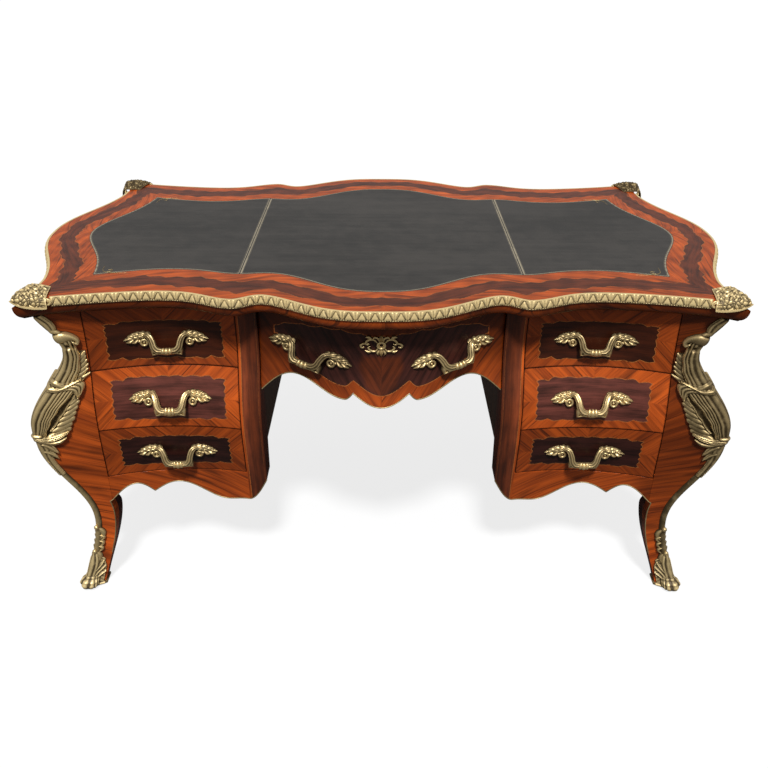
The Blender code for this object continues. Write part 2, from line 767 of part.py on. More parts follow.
def build_chutes():
    """Cast brass over the arris, from under the top down to the sabot."""
    levels = [SABOT_HEIGHT + 2 * FIT_GAP] + [z for z in post_levels() if z > SABOT_HEIGHT + ARRIS_FLAT]
    rings = [chute_ring(z) for z in levels]
    for corner, (side, end) in CORNERS.items():
        loft("chute_" + corner, [mirrored(ring, side, end) for ring in rings], BRASS, DESK)


def build_sabots():
    """Brass shoes: a sole under the foot, open at the heel, with a scrolled toe."""
    toe_shape = np.array((0.0, 0.1, 0.45, 1.0, 1.0, 0.45, 0.1, 0.0))
    levels = [0.0, SOLE] + [z for z in post_levels() if FOOT_Z < z <= SABOT_HEIGHT]
    rings = []
    for z in levels:
        foot_z = max(z, FOOT_Z)
        toe = SABOT_TOE * math.sin(math.pi * min(1.0, 0.25 + z / SABOT_HEIGHT))
        wall = offset(post_outline(foot_z), SABOT_THICKNESS + toe * toe_shape)
        heel = (post_front_x(foot_z), post_side_y(foot_z))
        rings.append([(float(x), float(y), z) for x, y in [*wall, heel]])
    hollow_rings = []
    for z in [FOOT_Z - FIT_GAP] + [z for z in post_levels() if FOOT_Z < z <= SABOT_HEIGHT + LEG_EASE]:
        foot_z = max(z, FOOT_Z)
        skin = offset(post_outline(foot_z), BRASS_SEAT)
        heel = (post_front_x(foot_z) - LEG_WIDTH, post_side_y(foot_z) - FOOT_DEPTH)
        front_end = (heel[0], float(skin[0][1]))
        side_end = (float(skin[-1][0]), heel[1])
        hollow_rings.append([(float(x), float(y), z) for x, y in [front_end, *skin, side_end, heel]])
    for corner, (side, end) in CORNERS.items():
        sabot = loft("sabot_" + corner, [mirrored(ring, side, end) for ring in rings], BRASS, DESK)
        hollow = [mirrored(ring, side, end) for ring in hollow_rings]
        combine(sabot, loft("sabot_hollow_" + corner, hollow, TOOL, TOOLS), "DIFFERENCE")


# Pedestals


def face_ring(face, x, low, high, back, rows):
    """Section at x of a panel with a shaped front and a flat back."""
    front = [(x, face(x, z), z) for z in spread(low, high, rows)]
    return front + [(x, back, high), (x, back, low)]


def build_front_frames():
    """Kneehole stile and scalloped apron of each pedestal."""
    apron_top = STACK_BASE - DRAWER_GAP / 2
    stile_x = spread(KNEEHOLE_HALF_WIDTH, STILE_OUTER_X, 4)
    apron_x = stile_x + spread(STILE_OUTER_X, POST_X - FIT_GAP, 20)[1:]
    stile_low = apron_top - DRAWER_GAP
    for side_name, side in SIDES.items():
        apron = [
            mirrored(face_ring(front_face, x, pedestal_hem(x), apron_top, FRAME_BACK, 4), side, -1)
            for x in apron_x
        ]
        stile = [
            mirrored(face_ring(front_face, x, stile_low, CARCASS_TOP, FRAME_BACK, 13), side, -1)
            for x in stile_x
        ]
        name = "front_frame_" + side_name
        frame = loft(name, stile, KINGWOOD, DESK)
        combine(frame, loft("apron_" + side_name, apron, TULIPWOOD, TOOLS), "UNION")


def build_back_panels():
    """Shaped backs of the pedestals."""
    stations = spread(KNEEHOLE_HALF_WIDTH, POST_X - FIT_GAP, 19)
    for side_name, side in SIDES.items():
        rings = [
            mirrored(face_ring(front_face, x, pedestal_hem(x), CARCASS_TOP, FRAME_BACK, 10), side)
            for x in stations
        ]
        loft("back_panel_" + side_name, rings, TULIPWOOD, DESK)


def drawer_levels():
    """Lower and upper height of each drawer of a pedestal, by name."""
    levels = {}
    upper = STACK_TOP
    for name, height in zip(("top", "middle", "bottom"), DRAWER_HEIGHTS):
        levels[name] = (upper - height, upper)
        upper -= height
    return levels


def shelf_heights():
    """Upper heights of the runners of the two upper drawers and of the cleat under the bottom board."""
    levels = drawer_levels()
    cleat = levels["bottom"][0] + RUNNER_RISE - BOTTOM_BOARD - FIT_GAP
    return [levels["top"][0] + RUNNER_RISE, levels["middle"][0] + RUNNER_RISE, cleat]


def build_outer_sides():
    """Bombe sides with their drawer runners."""
    reach = POST_Y - FIT_GAP
    stations = spread(-reach, reach, 13)
    shelf_inner = POST_X - BOX_GAP - RUNNER_BEARING
    for side_name, side in SIDES.items():
        rings = []
        for y in stations:
            heights = spread(side_hem(y), CARCASS_TOP, 11)
            outer = [(side_face(y, z), y, z) for z in heights]
            inner = [(x - SIDE_THICKNESS, y, z) for x, y, z in reversed(outer)]
            rings.append(mirrored(outer + inner, side))
        panel = loft("outer_side_" + side_name, rings, TULIPWOOD, DESK)
        for index, upper in enumerate(shelf_heights()):
            lower = upper - RUNNER_THICKNESS
            shelf = []
            for y in spread(-RUNNER_REACH, RUNNER_REACH, 7):
                root = side_face(y, lower) - SIDE_THICKNESS / 2
                corners = ((shelf_inner, lower), (root, lower), (root, upper), (shelf_inner, upper))
                shelf.append(mirrored([(x, y, z) for x, z in corners], side))
            combine(panel, loft(f"outer_runner_{side_name}_{index}", shelf, OAK, TOOLS), "UNION")


def build_inner_sides():
    """Kneehole sides with runners for the pedestal drawers and the centre drawer."""
    outer_x = INNER_X + INNER_THICKNESS
    bearing_x = STILE_OUTER_X + BOX_GAP + RUNNER_BEARING
    middle_x = INNER_X + INNER_THICKNESS / 2
    reach = FRAME_BACK - FIT_GAP
    for side_name, side in SIDES.items():
        low = (side * INNER_X, -reach, STACK_BASE - INNER_DROP)
        high = (side * outer_x, reach, CARCASS_TOP)
        panel = box("inner_side_" + side_name, low, high, KINGWOOD, DESK)
        for index, upper in enumerate(shelf_heights()):
            low = (side * middle_x, -RUNNER_REACH, upper - RUNNER_THICKNESS)
            high = (side * bearing_x, RUNNER_REACH, upper)
            combine(panel, box(f"inner_runner_{side_name}_{index}", low, high, OAK, TOOLS), "UNION")
        center_low = CENTER_BOX_Z - FIT_GAP - RUNNER_THICKNESS
        low = (side * (CENTER_BOX_HALF_WIDTH - RUNNER_BEARING), -RUNNER_REACH, center_low)
        high = (side * middle_x, CENTER_BOX_LENGTH - CENTER_BACK, CENTER_BOX_Z - FIT_GAP)
        combine(panel, box("center_runner_" + side_name, low, high, OAK, TOOLS), "UNION")


def build_bottom_boards():
    """Floors of the pedestals, which the bottom drawers run on."""
    lower = shelf_heights()[-1] + FIT_GAP
    inner_x = INNER_X + INNER_THICKNESS + FIT_GAP
    reach = FRAME_BACK - FIT_GAP
    outer_x = min(side_face(y, lower) for y in spread(0.0, reach, 30)) - SIDE_THICKNESS - DRAWER_GAP
    for side_name, side in SIDES.items():
        low = (side * inner_x, -RUNNER_REACH, lower)
        high = (side * outer_x, reach, lower + BOTTOM_BOARD)
        box("bottom_board_" + side_name, low, high, OAK, DESK)


def build_back_frieze():
    """Shaped frieze between the pedestals at the back."""
    limit = KNEEHOLE_HALF_WIDTH - FIT_GAP
    rings = []
    for x in spread(-limit, limit, 31):
        heights = spread(center_hem(x), CARCASS_TOP, 4)
        outer = [(x, center_face(x, z), z) for z in heights]
        inner = [(x, y - FRIEZE_THICKNESS, z) for x, y, z in reversed(outer)]
        rings.append(outer + inner)
    loft("back_frieze", rings, KINGWOOD, DESK)


# Drawers


def add_group(name, place):
    """An empty on a drawer's line of travel, which carries its pieces."""
    group = bpy.data.objects.new(name, None)
    group.location = place
    DESK.objects.link(group)
    return group


def carry(group, *pieces):
    """Parent pieces to an empty without moving them."""
    for piece in pieces:
        piece.parent = group
        piece.matrix_parent_inverse = Matrix.Translation(-group.location)


def drawer_box(name, low, high):
    """Sides, back and floor of a drawer, open at the top and at its shaped front."""
    tray = box(name, low, high, OAK, DESK)
    hollow_low = Vector((low[0] + BOX_WALL, low[1] - BOX_WALL, low[2] + BOX_FLOOR))
    hollow_high = Vector((high[0] - BOX_WALL, high[1] - BOX_WALL, high[2] + BOX_WALL))
    combine(tray, box(name + "_hollow", hollow_low, hollow_high, TOOL, TOOLS), "DIFFERENCE")
    return tray


def face_normal(face, x, z):
    """Outward direction of a shaped front at x and height z."""
    step = 0.001
    lean_x = (face(x + step, z) - face(x - step, z)) / (2 * step)
    lean_z = (face(x, z + step) - face(x, z - step)) / (2 * step)
    return Vector((-lean_x, 1.0, -lean_z)).normalized()


def handle(name, face, center_x, center_z, tilt, side):
    """Cast pull: leafed ends on the drawer front and a bail standing out between them."""
    half = (
        (1.00, 0.14, 0.00, 0.36, 0.50),
        (0.86, 0.14, 0.00, 1.00, 0.67),
        (0.66, 0.07, 0.00, 0.91, 0.83),
        (0.50, 0.32, 0.14, 0.55, 1.00),
        (0.38, 0.07, 0.68, 0.46, 1.00),
        (0.27, -0.71, 1.00, 0.64, 1.00),
        (0.13, -1.00, 0.91, 0.46, 0.83),
    )
    middle = ((0.0, -0.86, 0.91, 0.46, 0.83),)
    shares = [(-share, *rest) for share, *rest in half] + list(middle) + list(reversed(half))
    path = []
    for share, rise_share, proud_share, height_share, depth_share in shares:
        across = share * HANDLE_HALF_WIDTH
        rise = rise_share * BAIL_DROP
        proud = proud_share * BAIL_PROUD
        height = height_share * HANDLE_LEAF_HEIGHT
        depth = depth_share * HANDLE_CAST_DEPTH
        x = center_x + across * math.cos(tilt) - rise * math.sin(tilt)
        z = center_z + across * math.sin(tilt) + rise * math.cos(tilt)
        normal = face_normal(face, x, z)
        place = Vector((x, face(x, z), z)) + normal * (BRASS_SEAT + depth + proud)
        path.append((place, normal, height, depth))
    rings = []
    for index, (place, normal, height, depth) in enumerate(path):
        before = path[max(0, index - 1)][0]
        after = path[min(len(path) - 1, index + 1)][0]
        run = (after - before).normalized()
        up = run.cross(normal).normalized()
        out = up.cross(run)
        angles = [math.radians(30 + 60 * step) for step in range(6)]
        ring = [place + up * height * math.cos(turn) + out * depth * math.sin(turn) for turn in angles]
        rings.append(mirrored([tuple(point) for point in ring], side, -1))
    return loft(name, rings, BRASS, DESK)


def build_pedestal_drawers():
    """Three drawers in each pedestal."""
    front_low_x = STILE_OUTER_X + DRAWER_GAP
    front_high_x = POST_X - DRAWER_GAP
    box_low_x = STILE_OUTER_X + BOX_GAP
    box_high_x = POST_X - BOX_GAP
    center_x = (front_low_x + front_high_x) / 2
    box_front = -FRONT_BACK + FIT_GAP
    for side_name, side in SIDES.items():
        for level_name, (lower, upper) in drawer_levels().items():
            label = f"{side_name}_{level_name}"
            low = lower + DRAWER_GAP / 2
            high = upper - DRAWER_GAP / 2
            rings = [
                mirrored(face_ring(front_face, x, low, high, FRONT_BACK, 7), side, -1)
                for x in spread(front_low_x, front_high_x, 12)
            ]
            front = loft("drawer_front_" + label, rings, TULIPWOOD, DESK)
            edges = sorted((side * box_low_x, side * box_high_x))
            tray_base = lower + RUNNER_RISE + FIT_GAP
            tray_low = (edges[0], box_front, tray_base)
            tray_high = (edges[1], box_front + BOX_LENGTH, tray_base + BOX_HEIGHT)
            tray = drawer_box("drawer_box_" + label, tray_low, tray_high)
            middle_z = (lower + upper) / 2
            pull_z = middle_z - HANDLE_DROPS[level_name]
            pull = handle("handle_" + label, front_face, center_x - HANDLE_SHIFT, pull_z, 0.0, side)
            carry(add_group("drawer_" + label, (side * center_x, -FRONT_BACK, middle_z)), front, tray, pull)


def build_center_drawer():
    """Wide shaped drawer over the kneehole, with its handles, escutcheon and lock."""
    limit = KNEEHOLE_HALF_WIDTH - DRAWER_GAP
    top = STACK_TOP
    rings = [
        mirrored(face_ring(center_face, x, center_hem(x), top, CENTER_BACK, 6), 1, -1)
        for x in spread(-limit, limit, 31)
    ]
    front = loft("center_drawer_front", rings, KINGWOOD, DESK)
    box_front = -CENTER_BACK + FIT_GAP
    tray_low = (-CENTER_BOX_HALF_WIDTH, box_front, CENTER_BOX_Z)
    tray_high = (CENTER_BOX_HALF_WIDTH, box_front + CENTER_BOX_LENGTH, CENTER_BOX_Z + CENTER_BOX_HEIGHT)
    tray = drawer_box("center_drawer_box", tray_low, tray_high)
    pull_z = DESK_HEIGHT - CENTER_HANDLE_DROP
    pulls = [
        handle("center_handle_" + name, center_face, CENTER_HANDLE_X, pull_z, CENTER_HANDLE_TILT, side)
        for name, side in SIDES.items()
    ]
    shield = escutcheon()
    case, bolt = lock()
    keyhole = keyhole_cutter()
    for piece in (front, shield, case):
        combine(piece, keyhole, "DIFFERENCE")
    carry(add_group("center_drawer", (0, -CENTER_BACK, pull_z)), front, tray, *pulls, shield, case)
    carry(add_group("lock_throw", (0, -(CENTER_BACK - LOCK_DEPTH / 2), DESK_HEIGHT - LOCK_DROP)), bolt)


def escutcheon():
    """Cartouche plate round the keyhole, bent to the drawer front."""
    middle = DESK_HEIGHT - ESCUTCHEON_DROP
    rings = []
    for share in spread(-0.98, 0.98, 11):
        x = share * ESCUTCHEON_HALF_WIDTH
        wave = 0.8 + 0.2 * math.cos(3 * math.pi * share)
        half = ESCUTCHEON_HALF_HEIGHT * math.sqrt(1 - share**2) * wave
        heights = spread(middle - half, middle + half, 3)
        back = [(x, center_face(x, z) + BRASS_SEAT, z) for z in heights]
        front = [(x, y + ESCUTCHEON_THICKNESS, z) for x, y, z in reversed(back)]
        rings.append(mirrored(back + front, 1, -1))
    return loft("escutcheon", rings, BRASS, DESK)


def lock():
    """Lock case behind the drawer front, and the bolt that rises out of it."""
    case_top = DESK_HEIGHT - LOCK_DROP
    back = -CENTER_BACK + FIT_GAP
    low = (-LOCK_HALF_WIDTH, back, case_top - LOCK_HEIGHT)
    high = (LOCK_HALF_WIDTH, back + LOCK_DEPTH, case_top)
    case = box("lock_case", low, high, STEEL, DESK)
    middle_y = back + LOCK_DEPTH / 2
    bolt_top = case_top + BOLT_STANDING
    bolt_low = Vector((-BOLT_HALF_WIDTH, middle_y - BOLT_DEPTH / 2, bolt_top - BOLT_HEIGHT))
    bolt_high = Vector((BOLT_HALF_WIDTH, middle_y + BOLT_DEPTH / 2, bolt_top))
    bolt = box("lock_bolt", bolt_low, bolt_high, STEEL, DESK)
    slack = Vector((FIT_GAP, FIT_GAP, FIT_GAP))
    slot = box("bolt_slot", bolt_low - slack, bolt_high + slack, TOOL, TOOLS)
    combine(case, slot, "DIFFERENCE")
    return case, bolt


def keyhole_cutter():
    """Round keyhole through the escutcheon and front, just into the lock case."""
    depth_front = CENTER_BACK + CENTER_BULGE + CENTER_SETBACK
    depth_back = CENTER_BACK - (LOCK_DEPTH - BOLT_DEPTH) / 4
    shape = bmesh.new()
    turn = Matrix.Rotation(math.radians(90), 4, "X")
    place = Matrix.Translation((0, -(depth_front + depth_back) / 2, DESK_HEIGHT - ESCUTCHEON_DROP))
    bmesh.ops.create_cone(
        shape,
        cap_ends=True,
        segments=12,
        radius1=KEYHOLE_RADIUS,
        radius2=KEYHOLE_RADIUS,
        depth=depth_front - depth_back,
        matrix=place @ turn,
    )
    return mesh_object("keyhole", shape, TOOL, TOOLS)


build_top_board()
build_leather()
build_edge_mouldings()
build_corner_mounts()
build_posts()
build_chutes()
build_sabots()
build_front_frames()
build_back_panels()
build_outer_sides()
build_inner_sides()
build_bottom_boards()
build_back_frieze()
build_pedestal_drawers()
build_center_drawer()
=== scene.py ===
"""Looks of the bombe desk: veneers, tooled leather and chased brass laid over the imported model."""

import math

import bpy
import numpy as np
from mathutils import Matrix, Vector, noise


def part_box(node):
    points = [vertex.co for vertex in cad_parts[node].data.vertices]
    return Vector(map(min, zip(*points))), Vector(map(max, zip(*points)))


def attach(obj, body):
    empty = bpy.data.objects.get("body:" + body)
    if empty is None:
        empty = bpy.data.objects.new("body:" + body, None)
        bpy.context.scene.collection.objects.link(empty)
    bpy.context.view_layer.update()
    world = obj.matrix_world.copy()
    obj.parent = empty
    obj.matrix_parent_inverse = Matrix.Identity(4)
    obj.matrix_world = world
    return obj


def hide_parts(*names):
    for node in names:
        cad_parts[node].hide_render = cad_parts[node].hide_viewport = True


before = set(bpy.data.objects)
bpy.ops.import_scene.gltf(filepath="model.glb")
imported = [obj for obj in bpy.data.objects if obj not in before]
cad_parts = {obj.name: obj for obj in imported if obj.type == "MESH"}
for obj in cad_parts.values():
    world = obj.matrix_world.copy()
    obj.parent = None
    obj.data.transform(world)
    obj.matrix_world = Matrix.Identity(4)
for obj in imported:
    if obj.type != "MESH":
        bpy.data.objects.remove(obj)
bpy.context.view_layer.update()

bl_info = {
    "name": "Bombe desk looks",
    "version": (1, 0, 0),
    "blender": (4, 5, 0),
    "location": "3D View > Sidebar > Desk",
    "description": "Veneered, leather-lined and brass-mounted pieces of a bombe desk",
    "category": "Object",
}

# Sizes of the solids that the pieces lie on, in metres

DESK_HEIGHT = 0.790
HALF_DEPTH = 0.400
KNEEHOLE = 0.275
STILE_EDGE = 0.3245
POST_X = 0.6555
POST_Y = 0.360
FIT = 0.0003
SEAT = 0.0007
UNDERSIDE = 0.748
CARCASS_TOP = 0.7477
STACK_TOP = 0.7437
STACK_BASE = 0.3117
DRAWERS = {"top": (0.5937, 0.7437), "middle": (0.4457, 0.5937), "bottom": (0.3117, 0.4457)}
DRAWER_GAP = 0.0015
FRONT_BACK = 0.331
FRAME_BACK = 0.345
CENTER_BACK = 0.370
LEDGE_Z = 0.7715
LEDGE = 0.003
OVOLO_HEIGHT = 0.0235
OVOLO_DEPTH = 0.012
EDGE_LOW = 0.7721
EDGE_HEIGHT = 0.0205
EDGE_FLUSH = 0.0176
EDGE_PROUD = 0.009
MOUNT_FRONT = 0.062
MOUNT_SIDE = 0.090
MOUNT_PROUD = 0.022
MOUNT_RISE = 0.016
TOP_CORNER_X = 0.762
TOP_WAIST_Y = 0.414
LEATHER_CORNER_X = 0.648
LEATHER_THICKNESS = 0.002
PANEL_EDGE = 0.320
ANKLE_Z = 0.1997
LEG_TOP_Z = 0.2417
BELLY_Z = 0.480
WAIST_Z = 0.650
FOOT_Z = 0.0063
LEG_WIDTH = 0.038
FOOT_DEPTH = 0.052
ANKLE_DEPTH = 0.085
LEG_EASE = 0.050
SIDE_THICKNESS = 0.024
FRIEZE_THICKNESS = 0.024
HANDLE_X = 0.485
HANDLE_LINES = {"top": 0.6587, "middle": 0.5207, "bottom": 0.3757}
CENTER_HANDLE_X = 0.157
CENTER_HANDLE_Z = 0.656
CENTER_TILT = math.radians(10)
KEYHOLE_Z = 0.694
PANEL_MARGINS = {"top": (0.0140, 0.0370), "middle": (0.0190, 0.0220), "bottom": (0.0200, 0.0245)}
PANEL_FLANK = 0.032
PANEL_SHIFT = 0.003
# Painted light and shade of the drawer fronts, as (banding, panel) scales of the veneer: the top drawers darker
# in the shade of the top, the middle ones lighter, the bottom ones darker
DRAWER_PAINTED_LIGHT_AND_SHADE = {"top": (0.70, 0.40), "middle": (1.10, 1.80), "bottom": (0.72, 0.46)}
# Scales of the top's veneer: tones of band and panel, and the ovolo's painted shade from its upper to its lower
# part
TOP_TONES_AND_PAINTED_SHADE = {"band": 1.02, "panel": 0.94, "ovolo": (0.50, 0.26)}
# Painted light and shade of the corner posts by height: lighter down the legs, darker under the top, and the
# front right post darker all the way
POST_PAINTED_LIGHT_AND_SHADE = {
    "left": ((0.0, 1.55), (0.10, 1.42), (0.20, 1.16), (0.33, 0.82), (0.45, 0.90), (0.62, 1.0), (0.72, 0.55)),
    "right": ((0.0, 1.15), (0.10, 1.0), (0.20, 0.82), (0.33, 0.45), (0.45, 0.40), (0.62, 0.40), (0.72, 0.27)),
}
CORNER_SPREAD = 0.005
STILE_STRIP = 0.005
BOLT_SLACK = 0.0015
MORTISE_DEPTH = 0.016
FEATHER_LENGTHS = (0.0215, 0.0148, 0.0120, 0.0102, 0.0096, 0.0094)
CORNERS = {"front_left": (-1, -1), "front_right": (1, -1), "back_left": (-1, 1), "back_right": (1, 1)}
SIDES = {"left": -1, "right": 1}
CORNER_REACH = 0.035
EDGE_EASING = 0.0006
TIGHT_EDGE = 0.0004
ARRIS_ROUND = 0.003
BEAD_PROUD = 0.0006
BEAD_DROP = 0.0004
GRIP_LIFT = 0.017

# Shares of the relief mark kept on the castings, which darken or brighten their brass: mounts by end, chutes and
# sabots by side of the desk, handles by drawer

# The back mounts are darker than the front ones
MOUNT_RELIEF_SHARE = {-1: 1.0, 1: 0.58}
# Painted light and shade: the left chutes lighter, the right chutes darker
CHUTE_PAINTED_LIGHT_AND_SHADE = {-1: 1.06, 1: 0.66}
# Painted shade: the sabots darker, those on the right more
SABOT_PAINTED_SHADE = {-1: 0.84, 1: 0.74}
# Painted light and shade: the handles darker on the top drawers, in the shade of the top, and lighter on the
# middle drawers
HANDLE_PAINTED_LIGHT_AND_SHADE = {"top": 0.72, "middle": 1.15, "bottom": 0.88}
# Painted shade: the centre handles darker under the top, the left one more
CENTER_HANDLE_PAINTED_SHADE = {"left": 0.60, "right": 0.85}

# Camera and light

CAMERA_PLACE = (0.0, -2.1455, 1.485)
CAMERA_TURN = (math.radians(62.1), math.radians(-0.25), 0.0)
CAMERA_LENS = 40.6
CAMERA_SENSOR = 36.0
CAMERA_SHIFT = 0.0013
SUN_STRENGTH = 3.8
SUN_SPREAD = math.radians(8)
SUN_TURN = (math.radians(35), 0.0, 0.0)
SKY_STRENGTH = 0.36
WHITE = (1, 1, 1, 1)


# Curves that the pieces share, on arrays of places


def eased(place, stations):
    """Value between (place, value) stations, level at each of them."""
    place = np.asarray(place, dtype=float)
    value = stations[-1][1] + 0.0 * place
    for (start, first), (end, last) in reversed(list(zip(stations, stations[1:]))):
        share = np.clip((place - start) / (end - start), 0.0, 1.0)
        value = np.where(place <= end, first + (last - first) * (1 - np.cos(math.pi * share)) / 2, value)
    return value


def scalloped(place, stations):
    """Value between (place, value, is_round) stations, pointed at those that are not round."""
    place = np.asarray(place, dtype=float)
    value = stations[-1][1] + 0.0 * place
    for (start, first, first_round), (end, last, last_round) in reversed(list(zip(stations, stations[1:]))):
        share = np.clip((place - start) / (end - start), 0.0, 1.0)
        if first_round and last_round:
            share = (1 - np.cos(math.pi * share)) / 2
        elif first_round:
            share = 1 - np.cos(math.pi * share / 2)
        elif last_round:
            share = np.sin(math.pi * share / 2)
        value = np.where(place <= end, first + (last - first) * share, value)
    return value


def swell(distance, reach, power=2.0):
    """Smooth bump of height 1 that dies away over about its reach."""
    return np.exp(-((np.abs(distance) / reach) ** power))


def front_edge(x):
    """Half depth of the top board at x."""
    x = np.abs(x)
    lobe_reach = np.where(x < 0.318, 0.042, 0.075)
    flare = np.maximum(0.0, 1 - (TOP_CORNER_X - x) / 0.292) ** 1.6
    return TOP_WAIST_Y + 0.109 * swell(x, 0.207, 3.2) + 0.043 * swell(x - 0.318, lobe_reach) + 0.052 * flare


TOP_CORNER_Y = float(front_edge(TOP_CORNER_X))


def side_edge(y):
    """Half width of the top board at y."""
    y = np.abs(y)
    corner = POST_X + 0.0805 + 0.098 * swell(TOP_CORNER_Y, 0.231, 2.3)
    flare = np.maximum(0.0, 1 - (TOP_CORNER_Y - y) / 0.135) ** 1.6
    return POST_X + 0.0805 + 0.098 * swell(y, 0.231, 2.3) + (TOP_CORNER_X - corner) * flare


def leather_front(x):
    """Half depth of the leather lining at x."""
    x = np.abs(x)
    flare = np.maximum(0.0, (x - 0.480) / (LEATHER_CORNER_X - 0.480)) ** 1.6
    bulge = 0.135 * swell(x, 0.189, 2.65) + 0.028 * swell(x - 0.330, 0.075)
    return TOP_WAIST_Y - 0.139 + bulge + 0.039 * flare


LEATHER_CORNER_Y = float(leather_front(LEATHER_CORNER_X))


def leather_side(y):
    """Half width of the leather lining at y."""
    y = np.abs(y)
    plain = 0.645 + 0.096 * swell(y, 0.180)
    corner = 0.645 + 0.096 * float(swell(LEATHER_CORNER_Y, 0.180))
    return plain + (LEATHER_CORNER_X - corner) * (y / LEATHER_CORNER_Y) ** 8


def arris_x(z):
    """Corner arris, half width at height z."""
    leg = ((-0.080, 0.0945), (ANKLE_Z, 0.0385))
    stations = (*leg, (BELLY_Z - 0.025, 0.1205), (BELLY_Z, 0.1205), (WAIST_Z, 0.036), (DESK_HEIGHT, 0.0925))
    return POST_X + eased(z, stations)


def arris_y(z):
    """Corner arris, half depth at height z."""
    return HALF_DEPTH + 0.025 + 0.5 * (arris_x(z) - POST_X - 0.0385)


def stile_y(z):
    """Front of a kneehole stile, half depth at height z."""
    return HALF_DEPTH + eased(z, ((ANKLE_Z, -0.010), (BELLY_Z, 0.025), (WAIST_Z, -0.008), (CARCASS_TOP, 0.0)))


def front_face(x, z):
    """Bombe front of a pedestal, half depth at x and height z."""
    across = (x - KNEEHOLE) / (arris_x(z) - KNEEHOLE)
    return (1 - across) * stile_y(z) + across * arris_y(z) - 0.045 * 4 * across * (1 - across)


def side_face(y, z):
    """Bombe side of a pedestal, half width at y and height z."""
    along = np.abs(y) / arris_y(z)
    fullness = np.maximum(0.0, arris_x(z) - POST_X - 0.0095)
    return arris_x(z) + 0.055 * (1 - along**2) - 0.7 * fullness * np.sin(math.pi * along) ** 2


def center_face(x, z):
    """Shaped front of the centre drawer, half depth at x and height z."""
    return 0.382 + 0.096 * swell(x, 0.190, 2.6) + stile_y(z) - HALF_DEPTH


def pedestal_hem(x):
    """Scalloped lower edge of a pedestal's front and back, height at x."""
    share = POST_X - KNEEHOLE
    stations = (
        (0.0, -0.012, False),
        (0.14 * share, -0.0865, True),
        (0.276 * share, -0.092, True),
        (0.59 * share, -0.038, True),
        (0.741 * share, -0.0625, False),
        (0.848 * share, -0.032, True),
        (share, -0.070, False),
    )
    return STACK_BASE + scalloped(x - KNEEHOLE, stations)


def side_hem(y):
    """Scalloped lower edge of a pedestal's side, height at y."""
    stations = ((0.0, -0.060, True), (0.58 * POST_Y, -0.025, True), (POST_Y, -0.070, False))
    return STACK_BASE + scalloped(np.abs(y), stations)


def center_hem(x):
    """Scalloped lower edge of the centre drawer and back frieze, height at x."""
    stations = (
        (0.0, -0.240, True),
        (0.225 * KNEEHOLE, -0.211, False),
        (0.295 * KNEEHOLE, -0.226, True),
        (0.70 * KNEEHOLE, -0.193, True),
        (KNEEHOLE, -0.243, False),
    )
    return DESK_HEIGHT + scalloped(np.abs(x), stations)


def post_front_x(z):
    """Inner edge of a post's front face."""
    return np.where(z >= LEG_TOP_Z, POST_X, np.maximum(POST_X, arris_x(z) - LEG_WIDTH))


def post_side_y(z):
    """Rear edge of a post's side face."""
    leg = arris_y(z) - eased(z, ((0.0, FOOT_DEPTH), (ANKLE_Z, ANKLE_DEPTH)))
    return eased(z, ((LEG_TOP_Z - LEG_EASE, leg), (LEG_TOP_Z, POST_Y)))


def smooth(knots, count):
    """A soft curve through knots, sampled count times."""
    knots = np.asarray(knots, dtype=float)
    if knots.ndim == 1:
        knots = knots[:, None]
    ends = np.vstack([2 * knots[0] - knots[1], knots, 2 * knots[-1] - knots[-2]])
    place = np.linspace(0, len(knots) - 1, count)
    index = np.minimum(place.astype(int), len(knots) - 2)
    part = (place - index)[:, None]
    first, second, third, fourth = (ends[index + step] for step in range(4))
    curve = 2 * second + (third - first) * part
    curve += (2 * first - 5 * second + 4 * third - fourth) * part**2
    curve += (3 * second - first - 3 * third + fourth) * part**3
    return curve / 2


def unit(vectors):
    """Vectors along the last axis, brought to length 1."""
    return vectors / np.linalg.norm(vectors, axis=-1, keepdims=True)


def inside_distance(across, up, outline):
    """Distance of places from a closed outline, positive inside it."""
    shape = np.shape(across)
    place = np.stack([np.ravel(across), np.ravel(up)], axis=1)[:, None, :]
    start = np.asarray(outline)[None, :, :]
    end = np.roll(start, -1, axis=1)
    run = end - start
    share = np.clip(np.sum((place - start) * run, axis=2) / np.sum(run**2, axis=2), 0.0, 1.0)
    gap = np.linalg.norm(place - start - run * share[..., None], axis=2).min(axis=1)
    straddles = (start[..., 1] > place[..., 1]) != (end[..., 1] > place[..., 1])
    rise = np.where(run[..., 1] == 0, 1.0, run[..., 1])
    crossing = start[..., 0] + (place[..., 1] - start[..., 1]) * run[..., 0] / rise
    inside = np.sum(straddles & (place[..., 0] < crossing), axis=1) % 2 == 1
    return np.where(inside, gap, -gap).reshape(shape)


# Mesh tools


def deselect():
    """Leave nothing selected."""
    bpy.ops.object.select_all(action="DESELECT")


def select_only(pieces):
    """Select these pieces, the first of them active."""
    deselect()
    for piece in pieces:
        piece.select_set(True)
    bpy.context.view_layer.objects.active = pieces[0]


# The tone mark scales the veneer's colour: the boards' own tones together with painted light and shade on the
# ovolo, posts, aprons, stiles and drawer fronts
WOOD_MARKS = {"inset": -1.0, "line": 1.0, "shield": -1.0, "tone": 1.0}


